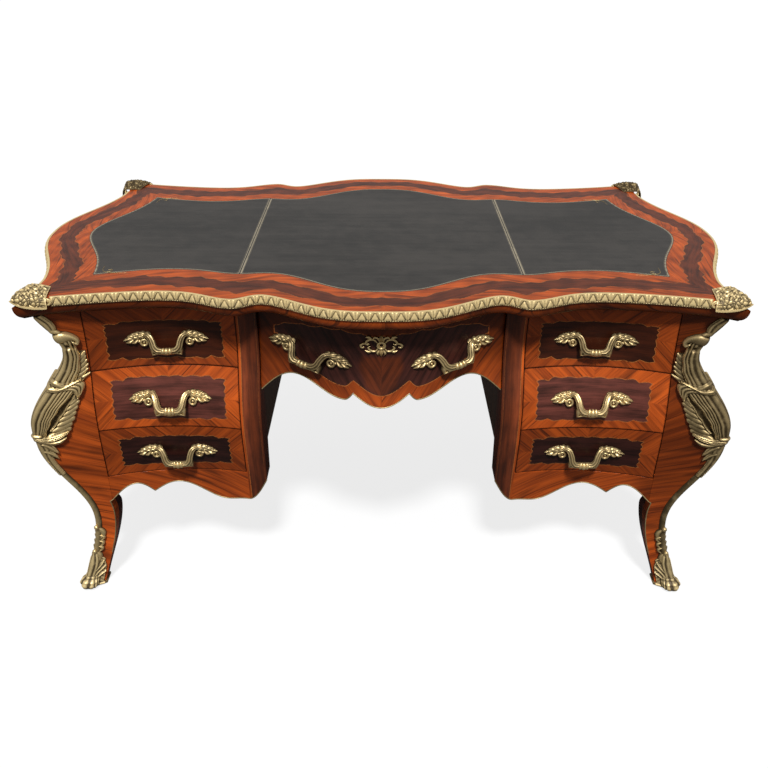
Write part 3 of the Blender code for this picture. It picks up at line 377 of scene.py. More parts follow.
def add_sheet(name, points, marks):
    """A grid primitive laid through rows of points, with marks that its finish reads."""
    rows = points.shape[0] - 1
    columns = points.shape[1] - 1
    deselect()
    bpy.ops.mesh.primitive_grid_add(x_subdivisions=columns, y_subdivisions=rows, size=2.0, location=(0, 0, 0))
    piece = bpy.context.object
    piece.name = name
    data = piece.data
    data.name = name
    flat = np.empty(3 * len(data.vertices))
    data.vertices.foreach_get("co", flat)
    flat = flat.reshape(-1, 3)
    if len(flat) != (rows + 1) * (columns + 1):
        raise RuntimeError("The grid of " + name + " has another number of points than its rows")
    column = np.rint((flat[:, 0] + 1) / 2 * columns).astype(int)
    row = np.rint((flat[:, 1] + 1) / 2 * rows).astype(int)
    data.vertices.foreach_set("co", points[row, column].ravel())
    for key, values in marks.items():
        values = np.asarray(values, dtype=float)
        if values.ndim == 3:
            mark = data.attributes.new(key, "FLOAT_VECTOR", "POINT")
            mark.data.foreach_set("vector", values[row, column].ravel())
        else:
            values = np.broadcast_to(values, points.shape[:2])
            mark = data.attributes.new(key, "FLOAT", "POINT")
            mark.data.foreach_set("value", values[row, column].ravel())
    return piece


def close_up(piece, angle=40):
    """Merge seams and poles, fill open ends, turn faces outwards and smooth them."""
    select_only([piece])
    bpy.ops.object.mode_set(mode="EDIT")
    bpy.ops.mesh.select_all(action="SELECT")
    bpy.ops.mesh.remove_doubles(threshold=0.000002)
    bpy.ops.mesh.fill_holes(sides=0)
    bpy.ops.mesh.select_all(action="SELECT")
    bpy.ops.mesh.normals_make_consistent(inside=False)
    bpy.ops.object.mode_set(mode="OBJECT")
    bpy.ops.object.shade_smooth_by_angle(angle=math.radians(angle))
    return piece


def thicken(piece, thickness, angle=40):
    """Give a sheet a wall behind it."""
    select_only([piece])
    bpy.ops.object.modifier_add(type="SOLIDIFY")
    wall = piece.modifiers[-1]
    wall.thickness = thickness
    wall.offset = -1.0
    bpy.ops.object.modifier_apply(modifier=wall.name)
    bpy.ops.object.shade_smooth_by_angle(angle=math.radians(angle))
    return piece


def cut_box(piece, center, half_sizes):
    """Take a box out of a closed piece."""
    bpy.ops.mesh.primitive_cube_add(size=2.0, location=center)
    tool = bpy.context.object
    tool.scale = half_sizes
    bpy.ops.object.transform_apply(location=True, rotation=False, scale=True)
    select_only([piece])
    bpy.ops.object.modifier_add(type="BOOLEAN")
    cut = piece.modifiers[-1]
    cut.operation = "DIFFERENCE"
    cut.object = tool
    bpy.ops.object.modifier_apply(modifier=cut.name)
    bpy.data.objects.remove(tool, do_unlink=True)
    return piece


def join(name, pieces):
    """One piece out of several."""
    select_only(pieces)
    if len(pieces) > 1:
        bpy.ops.object.join()
    pieces[0].name = name
    pieces[0].data.name = name
    return pieces[0]


def mirrored_copy(piece, name, side, end):
    """A copy of a piece in another quarter of the desk, with its own mesh."""
    select_only([piece])
    bpy.ops.object.duplicate(linked=False)
    copy = bpy.context.object
    copy.name = name
    copy.data.name = name
    copy.scale = (side, end, 1)
    bpy.ops.object.transform_apply(location=False, rotation=False, scale=True)
    bpy.ops.object.mode_set(mode="EDIT")
    bpy.ops.mesh.select_all(action="SELECT")
    bpy.ops.mesh.normals_make_consistent(inside=False)
    bpy.ops.object.mode_set(mode="OBJECT")
    return copy


def relief_scaled(piece, share):
    """The same casting with its relief mark scaled by a share, which darkens or brightens its brass."""
    relief = piece.data.attributes["relief"].data
    values = np.empty(len(relief))
    relief.foreach_get("value", values)
    relief.foreach_set("value", values * share)
    return piece


def dress(piece, finish, body, slot, *nodes):
    """Give a piece its finish, its body and the solids that it stands for."""
    piece.data.materials.clear()
    piece.data.materials.append(finish)
    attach(piece, body)
    if nodes:
        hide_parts(*nodes)


def quarter(points, side, end):
    """Points moved to another quarter of the desk."""
    return points * np.array((side, end, 1.0))


def tube(path, radii, sides=10, ridges=0, ridge_depth=0.15):
    """Rows of points round a path, with marks for the hollows between its ridges."""
    path = np.asarray(path, dtype=float)
    radii = np.broadcast_to(radii, len(path))
    runs = unit(np.gradient(path, axis=0))
    aside = np.empty_like(path)
    start = np.array((0.0, 0.0, 1.0)) if abs(runs[0][2]) < 0.9 else np.array((1.0, 0.0, 0.0))
    for index, run in enumerate(runs):
        start = start - run * np.dot(start, run)
        start = start / np.linalg.norm(start)
        aside[index] = start
    beside = np.cross(runs, aside)
    turn = np.linspace(0, 2 * math.pi, sides + 1)
    wave = 1 - ridge_depth * (0.5 - 0.5 * np.cos(ridges * turn))
    reach = radii[:, None, None] * wave[None, :, None]
    points = path[:, None, :] + reach * (
        np.cos(turn)[None, :, None] * aside[:, None, :] + np.sin(turn)[None, :, None] * beside[:, None, :]
    )
    relief = np.broadcast_to(1 - (1 - wave) / max(ridge_depth, 0.01) * 0.6, points.shape[:2])
    return points, {"relief": relief}


def leaf(place, spine, widths, heights, ribs=0, veins=0, rake=0.5, lobes=0, rows=30, columns=26):
    """Rows of points round a cast leaf that lies along a spine in the plane of place."""
    line = smooth(spine, rows + 1)
    half = np.maximum(smooth(widths, rows + 1)[:, 0], 0.0)
    rise = np.maximum(smooth(heights, rows + 1)[:, 0], 0.0)
    share = np.linspace(0, 1, rows + 1)
    run = unit(np.gradient(line, axis=0))
    if lobes:
        half = half * (0.72 + 0.28 * np.abs(np.sin(math.pi * lobes * share)))
    span = np.cos(np.linspace(0, math.pi, columns - 1))
    crown = np.maximum(0.0, 1 - span**2) ** 0.4
    groove = np.ones((rows + 1, columns - 1))
    if ribs:
        groove = groove * (0.62 + 0.38 * np.abs(np.cos(math.pi * ribs * span / 2)))[None, :]
    if veins:
        phase = veins * share[:, None] - rake * veins / 4 * np.abs(span)[None, :]
        groove = groove * (0.6 + 0.4 * np.abs(np.sin(math.pi * phase)))
    relief = crown[None, :] * groove
    across = line[:, 0, None] - run[:, 1, None] * half[:, None] * span[None, :]
    up = line[:, 1, None] + run[:, 0, None] * half[:, None] * span[None, :]
    proud = SEAT + rise[:, None] * relief
    across = np.hstack([across, line[:, :1], across[:, :1]])
    up = np.hstack([up, line[:, 1:], up[:, :1]])
    level = np.full((rows + 1, 1), SEAT)
    proud = np.hstack([proud, level, proud[:, :1]])
    relief = np.hstack([relief, np.zeros((rows + 1, 1)), relief[:, :1]])
    return place(across, up, proud), {"relief": relief}


def bead(center, radius):
    """Rows of points round a small berry."""
    turn = np.linspace(0, math.pi, 9)
    path = np.asarray(center, dtype=float) + np.stack([0 * turn, 0 * turn, -radius * np.cos(turn)], axis=1)
    return tube(path, radius * np.sin(turn), 12)


def casting(name, shapes):
    """One brass casting out of its tubes, leaves and berries."""
    sheets = [add_sheet(f"{name}_{index}", points, marks) for index, (points, marks) in enumerate(shapes)]
    return close_up(join(name, sheets), 60)


def face_place(face, center_x, center_z, tilt=0.0):
    """Turns (across, up, proud) of a drawer front into a point on it."""

    def place(across, up, proud):
        x = center_x + across * math.cos(tilt) - up * math.sin(tilt)
        z = center_z + across * math.sin(tilt) + up * math.cos(tilt)
        step = 0.001
        lean_x = (face(x + step, z) - face(x - step, z)) / (2 * step)
        lean_z = (face(x, z + step) - face(x, z - step)) / (2 * step)
        normal = unit(np.stack([-lean_x, np.ones_like(x), -lean_z], axis=-1))
        return np.stack([x, face(x, z), z], axis=-1) + normal * np.asarray(proud)[..., None]

    return place


def raised(place, lift):
    """The same place, standing further out."""

    def higher(across, up, proud):
        return place(across, up, proud + lift)

    return higher


def corner_place(inward, z, proud):
    """A point on a corner: inward from the arris along the front, or along the side where negative."""
    inward, z, proud = np.broadcast_arrays(inward, z, proud)
    z = np.clip(z, 0.0, CARCASS_TOP)
    step = 0.0005
    front_x = arris_x(z) - np.maximum(inward, 0.0)
    side_y = arris_y(z) + np.minimum(inward, 0.0)
    lean_x = (front_face(front_x + step, z) - front_face(front_x - step, z)) / (2 * step)
    lean_z = (front_face(front_x, z + step) - front_face(front_x, z - step)) / (2 * step)
    front_normal = unit(np.stack([-lean_x, np.ones_like(z), -lean_z], axis=-1))
    lean_y = (side_face(side_y + step, z) - side_face(side_y - step, z)) / (2 * step)
    lean_z = (side_face(side_y, z + step) - side_face(side_y, z - step)) / (2 * step)
    side_normal = unit(np.stack([np.ones_like(z), -lean_y, -lean_z], axis=-1))
    share = np.clip((inward + 0.012) / 0.024, 0.0, 1.0)[..., None]
    share = share * share * (3 - 2 * share)
    normal = unit(front_normal * share + side_normal * (1 - share))
    on_front = inward >= 0
    x = np.where(on_front, front_x, side_face(side_y, z))
    y = np.where(on_front, front_face(front_x, z), side_y)
    return np.stack([x, y, z], axis=-1) + normal * proud[..., None]


def ribbed(phase):
    """A row of half-round ribs, one for each whole step of the phase."""
    return np.abs(np.sin(math.pi * phase)) ** 0.7


def stroke(aside, z, spine, widths, base, rise, grooves=0):
    """Height of a rounded ridge along a spine, at places beside the arris."""
    line = smooth(spine, 40)
    half = np.maximum(smooth(widths, 40)[:, 0], 0.0003)
    gap = (np.hypot(aside[..., None] - line[:, 0], z[..., None] - line[:, 1]) / half).min(axis=-1)
    crown = np.sqrt(np.maximum(0.0, 1 - gap**2))
    if grooves:
        crown = crown * (0.66 + 0.34 * np.abs(np.cos(math.pi * grooves * gap)))
    return base * np.clip((1 - gap) / 0.2, 0.0, 1.0) + rise * crown


def hollows(rise, reach, depth):
    """Mark for the brass: 0 in the hollows of a relief and 1 on its ridges."""
    kernel = np.hanning(2 * reach + 3)[1:-1]
    kernel = kernel / kernel.sum()
    soft = rise
    for axis in (0, 1):
        rims = [(reach, reach) if each == axis else (0, 0) for each in (0, 1)]
        soft = np.apply_along_axis(np.convolve, axis, np.pad(soft, rims, mode="edge"), kernel, "valid")
    return np.where(rise > 0.0012, np.clip(0.60 + (rise - soft) / depth, 0.0, 1.0), 0.0)


def corner_relief(high, low, widest, heights):
    """Rows of points round a casting that wraps a corner, from its height beside the arris."""
    step = 0.0009
    z = np.linspace(high, low, round((high - low) / step) + 1)[:, None]
    aside = np.linspace(0.0, widest, round(widest / step) + 1)[None, :]
    rise = heights(*np.broadcast_arrays(aside, z))
    column = np.broadcast_to(np.arange(rise.shape[1]), rise.shape)
    reach = np.maximum(4, np.where(rise > 0.0006, column, 0).max(axis=1))[:, None]
    inward = aside * 1.0 + 0 * z
    inward = np.minimum(inward, np.take_along_axis(inward, reach, axis=1))
    relief = hollows(rise, 5, 0.0027)
    relief = np.where(column > reach, 0.0, relief)
    rise = np.where(column >= reach, 0.0, rise)
    inward = np.hstack([-inward[:, :0:-1], inward, 0 * z, -inward[:, -1:]])
    rise = np.hstack([rise[:, :0:-1], rise, 0 * z, rise[:, -1:]])
    relief = np.hstack([relief[:, :0:-1], relief, 0 * z, relief[:, -1:]])
    return corner_place(inward, z, SEAT + rise), {"relief": relief}


# Finishes


class Shade:
    """A shader socket that takes part in Python sums."""

    def __init__(self, tree, socket=None):
        self.tree = tree
        self.socket = socket

    def node(self, kind, settings, inputs, output=0):
        """A node of a kind, with its settings and the values or links of its sockets."""
        made = self.tree.nodes.new(kind)
        for key, value in settings.items():
            setattr(made, key, value)
        for key, value in inputs.items():
            if isinstance(value, Shade):
                self.tree.links.new(value.socket, made.inputs[key])
            else:
                made.inputs[key].default_value = value
        return Shade(self.tree, made.outputs[output] if made.outputs else None)

    def math(self, operation, first, second=0.0):
        return self.node("ShaderNodeMath", {"operation": operation}, {0: first, 1: second})

    def __add__(self, other):
        return self.math("ADD", self, other)

    def __radd__(self, other):
        return self.math("ADD", other, self)

    def __sub__(self, other):
        return self.math("SUBTRACT", self, other)

    def __rsub__(self, other):
        return self.math("SUBTRACT", other, self)

    def __mul__(self, other):
        return self.math("MULTIPLY", self, other)

    def __rmul__(self, other):
        return self.math("MULTIPLY", other, self)

    def __abs__(self):
        return self.math("ABSOLUTE", self)

    def between(self, low, high):
        """0 below low, 1 above high and a soft step between them."""
        inputs = {0: self, 1: low, 2: high, 3: 0.0, 4: 1.0}
        return self.node("ShaderNodeMapRange", {"interpolation_type": "SMOOTHSTEP"}, inputs)

    def mix(self, first, second):
        """The first colour where this is 0 and the second where it is 1."""
        return self.node("ShaderNodeMix", {"data_type": "RGBA"}, {0: self, 6: first, 7: second}, 2)

    def scaled(self, *scale):
        """This vector with each of its axes scaled."""
        return self.node("ShaderNodeVectorMath", {"operation": "MULTIPLY"}, {0: self, 1: scale})

    def clouds(self, scale, detail):
        """Noise over this vector, about 0.5."""
        inputs = {"Vector": self, "Scale": scale, "Detail": detail, "Roughness": 0.55}
        return self.node("ShaderNodeTexNoise", {}, inputs, "Fac")

    def mark(self, name):
        """A mark of the mesh, as a number."""
        return self.node("ShaderNodeAttribute", {"attribute_name": name}, {}, "Fac")

    def arrow(self, name):
        """A mark of the mesh, as a vector."""
        return self.node("ShaderNodeAttribute", {"attribute_name": name}, {}, "Vector")


def new_finish(name):
    """An empty material, as a start for its shader."""
    material = bpy.data.materials.new(name)
    material.use_nodes = True
    material.node_tree.nodes.clear()
    return material, Shade(material.node_tree)


def finished(material, shade, inputs, height, bump_depth):
    """Close a material with its Principled shader and bump."""
    relief = {"Strength": 1.0, "Distance": bump_depth, "Height": height}
    bump = shade.node("ShaderNodeBump", {}, relief, "Normal")
    surface = shade.node("ShaderNodeBsdfPrincipled", {}, {**inputs, "Normal": bump})
    shade.node("ShaderNodeOutputMaterial", {}, {"Surface": surface}, None)
    return material


def color(name):
    """A colour of the desk's settings, with alpha."""
    return (*getattr(bpy.context.scene.desk_finishes, name), 1.0)


def veneer():
    """Tulipwood banding, kingwood panels and pale stringing, placed by the marks of the mesh."""
    if "desk_veneer" in bpy.data.materials:
        return bpy.data.materials["desk_veneer"]
    width = bpy.context.scene.desk_sizes.stringing_width
    material, shade = new_finish("desk_veneer")
    grain = shade.arrow("grain")
    figure = shade.arrow("figure")
    inset = shade.mark("inset")
    line = shade.mark("line")
    shield = shade.mark("shield")
    tone_and_painted_light = shade.mark("tone")

    fine = grain.scaled(14, 620, 9).clouds(1.0, 2.0)
    broad = grain.scaled(3.5, 75, 7).clouds(1.0, 3.0)
    pencil = grain.scaled(5, 210, 5).clouds(1.0, 2.0)
    patch = grain.scaled(5, 9, 3).clouds(1.0, 2.0)
    tone = 0.55 * broad + 0.25 * fine + 0.2 * patch
    tulip = tone.between(0.32, 0.66).mix(color("tulipwood_deep"), color("tulipwood"))
    smoke = grain.scaled(7, 30, 3).clouds(1.0, 2.0)
    tulip = (0.62 * smoke.between(0.53, 0.74)).mix(tulip, color("tulipwood_streak"))
    tulip = (0.75 * pencil.between(0.555, 0.70)).mix(tulip, color("tulipwood_streak"))

    ripple = figure.scaled(7, 90, 5).clouds(1.0, 3.0)
    cloud = figure.scaled(16, 30, 4).clouds(1.0, 3.0)
    hair = figure.scaled(14, 520, 3).clouds(1.0, 2.0)
    depth = 0.5 * ripple + 0.3 * cloud + 0.2 * hair
    king = depth.between(0.34, 0.66).mix(color("kingwood_deep"), color("kingwood"))
    heart = depth.between(0.36, 0.64).mix(color("heartwood_deep"), color("heartwood"))
    king = shield.between(-0.008, 0.006).mix(king, heart)

    wood = inset.between(-0.0004, 0.0004).mix(tulip, king)
    # Scaled by the tone mark: the boards' own tones and painted light and shade
    wood = wood.node("ShaderNodeVectorMath", {"operation": "SCALE"}, {0: wood, "Scale": tone_and_painted_light})
    edge = abs(inset - width / 2)
    string = 1 - edge.math("MINIMUM", edge, line).between(width * 0.4, width * 0.7)
    worn = grain.scaled(160, 160, 5).clouds(1.0, 2.0).between(0.36, 0.5)
    wood = (string * (0.15 + 0.55 * worn)).mix(wood, color("stringing"))
    inputs = {"Base Color": wood, "Roughness": 0.22 + 0.22 * fine, "Specular IOR Level": 0.2}
    return finished(material, shade, inputs, fine + pencil, 0.00008)


def gilt(name="desk_gilt", raised_color="brass", metallic=0.76):
    """Worn gilding over cast brass, dark in the hollows."""
    if name in bpy.data.materials:
        return bpy.data.materials[name]
    material, shade = new_finish(name)
    place = shade.node("ShaderNodeTexCoord", {}, {}, "Object")
    relief = shade.mark("relief")
    mottle = place.clouds(60.0, 4.0)
    chasing = place.clouds(420.0, 3.0)
    raised = (relief + 0.4 * (mottle - 0.5)).between(0.22, 0.86)
    brass = raised.mix(color("brass_deep"), color(raised_color))
    brass = (0.3 * mottle.between(0.5, 0.7)).mix(brass, color("brass_worn"))
    inputs = {"Base Color": brass, "Metallic": metallic, "Roughness": 0.50 - 0.16 * raised + 0.12 * chasing}
    return finished(material, shade, inputs, chasing, 0.0003)


def bright_gilt():
    """Brighter and less metallic gilding, for the brass edge, the front corner mounts and the sabots."""
    return gilt("desk_bright_gilt", "brass_bright", 0.36)


def leather():
    """Near-black hide with a gilt roll along its edge."""
    if "desk_leather" in bpy.data.materials:
        return bpy.data.materials["desk_leather"]
    material, shade = new_finish("desk_leather")
    place = shade.node("ShaderNodeTexCoord", {}, {}, "Object")
    edge = shade.mark("edge")
    along = shade.mark("along")
    hide = place.clouds(26.0, 4.0)
    pores = place.node("ShaderNodeTexVoronoi", {}, {"Vector": place, "Scale": 900.0}, "Distance")
    streak = place.scaled(4, 60, 1).clouds(1.0, 3.0)
    cast = place.scaled(2.4, 6, 1).clouds(1.0, 2.0)
    tone = (0.35 * hide + 0.25 * streak + 0.4 * cast).between(0.34, 0.66)
    skin = tone.mix(color("leather_deep"), color("leather"))
    wave = along.math("SINE", along * (2 * math.pi / 0.0052))
    rope = 1 - abs(edge - 0.0024 - 0.0006 * wave).between(0.0009, 0.0016)
    fillet = 1 - abs(edge - 0.0052).between(0.0002, 0.0005)
    tooled = rope.math("MAXIMUM", rope, fillet * 0.4)
    rubbed = place.clouds(240.0, 3.0).between(0.3, 0.55)
    gold = tooled * (0.45 + 0.5 * rubbed)
    inputs = {
        "Base Color": gold.mix(skin, color("tooling")),
        "Roughness": 0.42 + 0.12 * hide,
        "Metallic": 0.4 * gold,
    }
    return finished(material, shade, inputs, pores * 0.5 + hide - gold, 0.00012)


def oak():
    """Plain lining wood."""
    if "desk_oak" in bpy.data.materials:
        return bpy.data.materials["desk_oak"]
    material, shade = new_finish("desk_oak")
    place = shade.node("ShaderNodeTexCoord", {}, {}, "Object")
    grain = place.scaled(140, 6, 140).clouds(1.0, 3.0)
    ring = place.scaled(24, 2, 24).clouds(1.0, 3.0)
    tone = (0.6 * grain + 0.4 * ring).between(0.32, 0.68)
    inputs = {"Base Color": tone.mix(color("oak_deep"), color("oak")), "Roughness": 0.5 + 0.2 * grain}
    return finished(material, shade, inputs, grain, 0.0002)


def dark_wood():
    """Stained wood of the kneehole sides."""
    if "desk_dark_wood" in bpy.data.materials:
        return bpy.data.materials["desk_dark_wood"]
    material, shade = new_finish("desk_dark_wood")
    place = shade.node("ShaderNodeTexCoord", {}, {}, "Object")
    grain = place.scaled(160, 160, 7).clouds(1.0, 3.0)
    ring = place.scaled(20, 20, 3).clouds(1.0, 3.0)
    tone = (0.5 * grain + 0.5 * ring).between(0.32, 0.68)
    inputs = {"Base Color": tone.mix(color("stain_deep"), color("stain")), "Roughness": 0.4 + 0.2 * grain}
    return finished(material, shade, inputs, grain, 0.00015)


def lock_steel():
    """Dull steel of the lock."""
    if "desk_lock_steel" in bpy.data.materials:
        return bpy.data.materials["desk_lock_steel"]
    material, shade = new_finish("desk_lock_steel")
    place = shade.node("ShaderNodeTexCoord", {}, {}, "Object")
    brushed = place.scaled(60, 60, 900).clouds(1.0, 3.0)
    stain = place.clouds(90.0, 3.0)
    inputs = {
        "Base Color": stain.between(0.35, 0.65).mix(color("steel_deep"), color("steel")),
        "Metallic": 1.0,
        "Roughness": 0.35 + 0.25 * brushed,
    }
    return finished(material, shade, inputs, brushed, 0.0001)


# Marks for the veneer


def vector_mark(along, across, seed):
    """A grain direction and a seed for each point."""
    along, across, seed = np.broadcast_arrays(along, across, seed)
    return np.stack([along, across, seed.astype(float)], axis=-1)


def wood_marks(grain, figure=None, **marks):
    """Marks of a veneered sheet, with plain values for those left out."""
    return {**WOOD_MARKS, "grain": grain, "figure": grain if figure is None else figure, **marks}


def streaked(inward, z, seed):
    """Slanting grain of the corners and aprons."""
    return vector_mark(0.85 * inward - 0.53 * z, 0.53 * inward + 0.85 * z, seed)


def banded(across, up, half_width, half_height, outline, seed, band_light_and_shade=1.0, panel_light_and_shade=1.0):
    """Mitred and slanted banding round a panel with a scalloped outline."""
    aside = np.abs(across)
    high = np.abs(up)
    mitre = (half_width - aside) - (half_height - high)
    board = seed + 3 * (mitre > 0) + 7 * (across > 0) + 13 * (up > 0)
    grain = vector_mark((aside + high) * 0.707, (aside - high) * 0.707, board)
    figure = vector_mark(across, up, seed + 0.5)
    inset = inside_distance(across, up, outline)
    # The band and panel scales carry the drawer fronts' painted light and shade; the random board tones and the
    # dark mitre line are the veneer's own
    boards = band_light_and_shade * (1 + 0.15 * np.sin(12.9898 * board))
    boards = boards * (0.55 + 0.45 * np.clip(np.abs(mitre) / 0.0028, 0.0, 1.0))
    return wood_marks(grain, figure, inset=inset, tone=np.where(inset > 0, panel_light_and_shade, boards))


UPPER_CUSPS = (
    (0.0, 0.955, False),
    (0.12, 1.0, True),
    (0.26, 0.94, False),
    (0.42, 1.0, True),
    (0.56, 0.955, False),
    (0.68, 1.015, True),
    (0.78, 0.86, False),
    (0.90, 0.93, True),
    (1.0, 0.88, False),
)
LOWER_CUSPS = (
    (0.0, 0.985, True),
    (0.17, 0.94, False),
    (0.31, 1.0, True),
    (0.49, 0.95, False),
    (0.63, 1.005, True),
    (0.75, 0.87, False),
    (0.88, 0.94, True),
    (1.0, 0.88, False),
)
FLANK_CUSPS = (
    (0.0, 0.96, True),
    (0.22, 0.985, True),
    (0.40, 0.96, False),
    (0.62, 0.99, True),
    (0.78, 0.95, False),
    (1.0, 1.0, False),
)


def cartouche(half_width, low, high):
    """Outline of a drawer's dark panel, with eared corners and a scalloped edge."""
    share = np.linspace(0, 1, 64)
    flank_share = np.linspace(1, 0, 30)[1:]
    flank = scalloped(flank_share, FLANK_CUSPS)
    upper = np.stack([half_width * share, high * scalloped(share, UPPER_CUSPS)], axis=1)
    upper_flank = np.stack([half_width * flank, high * 0.88 * flank_share], axis=1)
    lower = np.stack([half_width * share, -low * scalloped(share, LOWER_CUSPS)], axis=1)
    lower_flank = np.stack([half_width * flank, -low * 0.88 * flank_share], axis=1)
    right = np.vstack([upper, upper_flank[:-1], lower_flank[::-1], lower[::-1]])
    left = right[::-1] * np.array((-1.0, 1.0))
    return np.vstack([right, left[1:-1]])


def add_panel(name, surface, back, rows, columns, marks, side=1, end=-1, inset=0.0009):
    """A shaped front with rounded edges that run back to a flat plane."""
    across = np.linspace(0.0, 1.0, columns)
    upward = np.linspace(0.0, 1.0, rows)
    near = 0.004
    across = np.concatenate([[0.0, 0.0, near], across[1:-1], [1 - near, 1.0, 1.0]])
    upward = np.concatenate([[0.0, 0.0, 2 * near], upward[1:-1], [1 - 2 * near, 1.0, 1.0]])
    share_x, share_z = np.meshgrid(across, upward)
    x, y, z = surface(share_x, share_z)
    sunk = np.zeros_like(y)
    sunk[1, :] = inset
    sunk[-2, :] = inset
    sunk[:, 1] = inset
    sunk[:, -2] = inset
    y = y - sunk
    y[0, :] = back
    y[-1, :] = back
    y[:, 0] = back
    y[:, -1] = back
    points = quarter(np.stack([x, y, z], axis=-1), side, end)
    return close_up(add_sheet(name, points, marks(x, z)), 50)


# Settings


def length(name, description, default):
    """A size setting."""
    return bpy.props.FloatProperty(name=name, description=description, default=default, unit="LENGTH")


class DeskSizes(bpy.types.PropertyGroup):
    """Sizes of the ornament."""

    stringing_width: length("Stringing", "Width of the pale lines in the veneer", 0.0014)
    bead_radius: length("Edge bead", "Radius of the brass bead along the lower edges", 0.0014)
    dart_length: length("Dart", "Repeat of the leaf and dart along the brass edge", 0.0265)
    dart_depth: length("Dart depth", "Relief of the leaf and dart", 0.0034)
    floor_half_width: length("Floor", "Half width of the floor", 40.0)


def paint(name, description, default):
    """A colour setting."""
    return bpy.props.FloatVectorProperty(
        name=name, description=description, default=default, size=3, min=0.0, max=1.0, subtype="COLOR"
    )


class DeskFinishes(bpy.types.PropertyGroup):
    """Colours of the finishes."""

    tulipwood: paint("Tulipwood", "Light grain of the banding", (0.49, 0.086, 0.0105))
    tulipwood_deep: paint("Tulipwood, deep", "Dark grain of the banding", (0.20, 0.033, 0.006))
    tulipwood_streak: paint("Tulipwood streak", "Dark streaks of the banding", (0.040, 0.010, 0.004))
    kingwood: paint("Kingwood", "Light grain of the panels", (0.085, 0.024, 0.017))
    kingwood_deep: paint("Kingwood, deep", "Dark grain of the panels", (0.020, 0.007, 0.005))
    heartwood: paint("Heartwood", "Light grain of the stiles and shield", (0.140, 0.030, 0.010))
    heartwood_deep: paint("Heartwood, deep", "Dark grain of the stiles and shield", (0.050, 0.013, 0.006))
    stringing: paint("Stringing", "Thin pale lines", (0.42, 0.135, 0.030))
    brass: paint("Brass", "Raised gilding", (0.68, 0.51, 0.245))
    brass_bright: paint("Brass, bright", "Raised gilding of the edge, mounts and shoes", (0.77, 0.59, 0.285))
    brass_worn: paint("Brass, worn", "Rubbed gilding", (0.46, 0.340, 0.170))
    brass_deep: paint("Brass, deep", "Hollows of the castings", (0.075, 0.050, 0.021))
    leather: paint("Leather", "Light parts of the lining", (0.040, 0.0355, 0.031))
    leather_deep: paint("Leather, deep", "Dark parts of the lining", (0.017, 0.0155, 0.0135))
    tooling: paint("Tooling", "Gilt roll on the leather", (0.42, 0.36, 0.25))
    oak: paint("Oak", "Light grain of the lining wood", (0.36, 0.22, 0.11))
    oak_deep: paint("Oak, deep", "Dark grain of the lining wood", (0.22, 0.125, 0.055))
    stain: paint("Stain", "Light grain of the kneehole sides", (0.125, 0.058, 0.025))
    stain_deep: paint("Stain, deep", "Dark grain of the kneehole sides", (0.060, 0.029, 0.013))
    steel: paint("Steel", "Lock", (0.42, 0.41, 0.39))
    steel_deep: paint("Steel, deep", "Stains of the lock", (0.22, 0.20, 0.18))
    floor: paint("Floor", "Floor under the desk", (0.90, 0.90, 0.90))
    floor_bounce: paint("Floor bounce", "Floor as the desk sees it", (0.13, 0.13, 0.13))


# Pieces


class DESK_OT_stage(bpy.types.Operator):
    """Floor, light and camera"""

    bl_idname = "desk.stage"
    bl_label = "Stage"

    def execute(self, context):
        context.scene.view_settings.view_transform = "Standard"
        reach = context.scene.desk_sizes.floor_half_width
        deselect()
        bpy.ops.mesh.primitive_plane_add(size=2 * reach, location=(0, 0, -0.0005))
        floor = context.object
        floor.name = "studio_floor"
        bpy.ops.object.transform_apply(location=True, rotation=False, scale=False)
        material, shade = new_finish("studio_floor")
        light_path = shade.node("ShaderNodeLightPath", {}, {}, "Is Camera Ray")
        seen = light_path.mix(color("floor_bounce"), color("floor"))
        matte = shade.node("ShaderNodeBsdfDiffuse", {}, {"Color": seen})
        glow = shade.node("ShaderNodeEmission", {}, {"Color": WHITE, "Strength": 1.0})
        surface = shade.node("ShaderNodeMixShader", {}, {0: light_path * 0.8, 1: matte, 2: glow})
        shade.node("ShaderNodeOutputMaterial", {}, {"Surface": surface}, None)
        floor.data.materials.append(material)

        world = bpy.data.worlds.new("studio")
        context.scene.world = world
        world.use_nodes = True
        world.node_tree.nodes.clear()
        shade = Shade(world.node_tree)
        path = shade.node("ShaderNodeLightPath", {}, {}, "Is Camera Ray")
        plain = shade.node("ShaderNodeBackground", {}, {"Color": WHITE, "Strength": SKY_STRENGTH})
        white = shade.node("ShaderNodeBackground", {}, {"Color": WHITE, "Strength": 1.0})
        surface = shade.node("ShaderNodeMixShader", {}, {0: path, 1: plain, 2: white})
        shade.node("ShaderNodeOutputWorld", {}, {"Surface": surface}, None)

        key_data = bpy.data.lights.new("key", "SUN")
        key_data.energy = SUN_STRENGTH
        key_data.angle = SUN_SPREAD
        key = bpy.data.objects.new("key", key_data)
        context.scene.collection.objects.link(key)
        key.rotation_euler = SUN_TURN

        camera_data = bpy.data.cameras.new("camera")
        camera = bpy.data.objects.new("camera", camera_data)
        context.scene.collection.objects.link(camera)
        camera_data.lens = CAMERA_LENS
        camera_data.sensor_width = CAMERA_SENSOR
        camera_data.shift_x = CAMERA_SHIFT
        camera.location = CAMERA_PLACE
        camera.rotation_euler = CAMERA_TURN
        context.scene.camera = camera
        return {"FINISHED"}


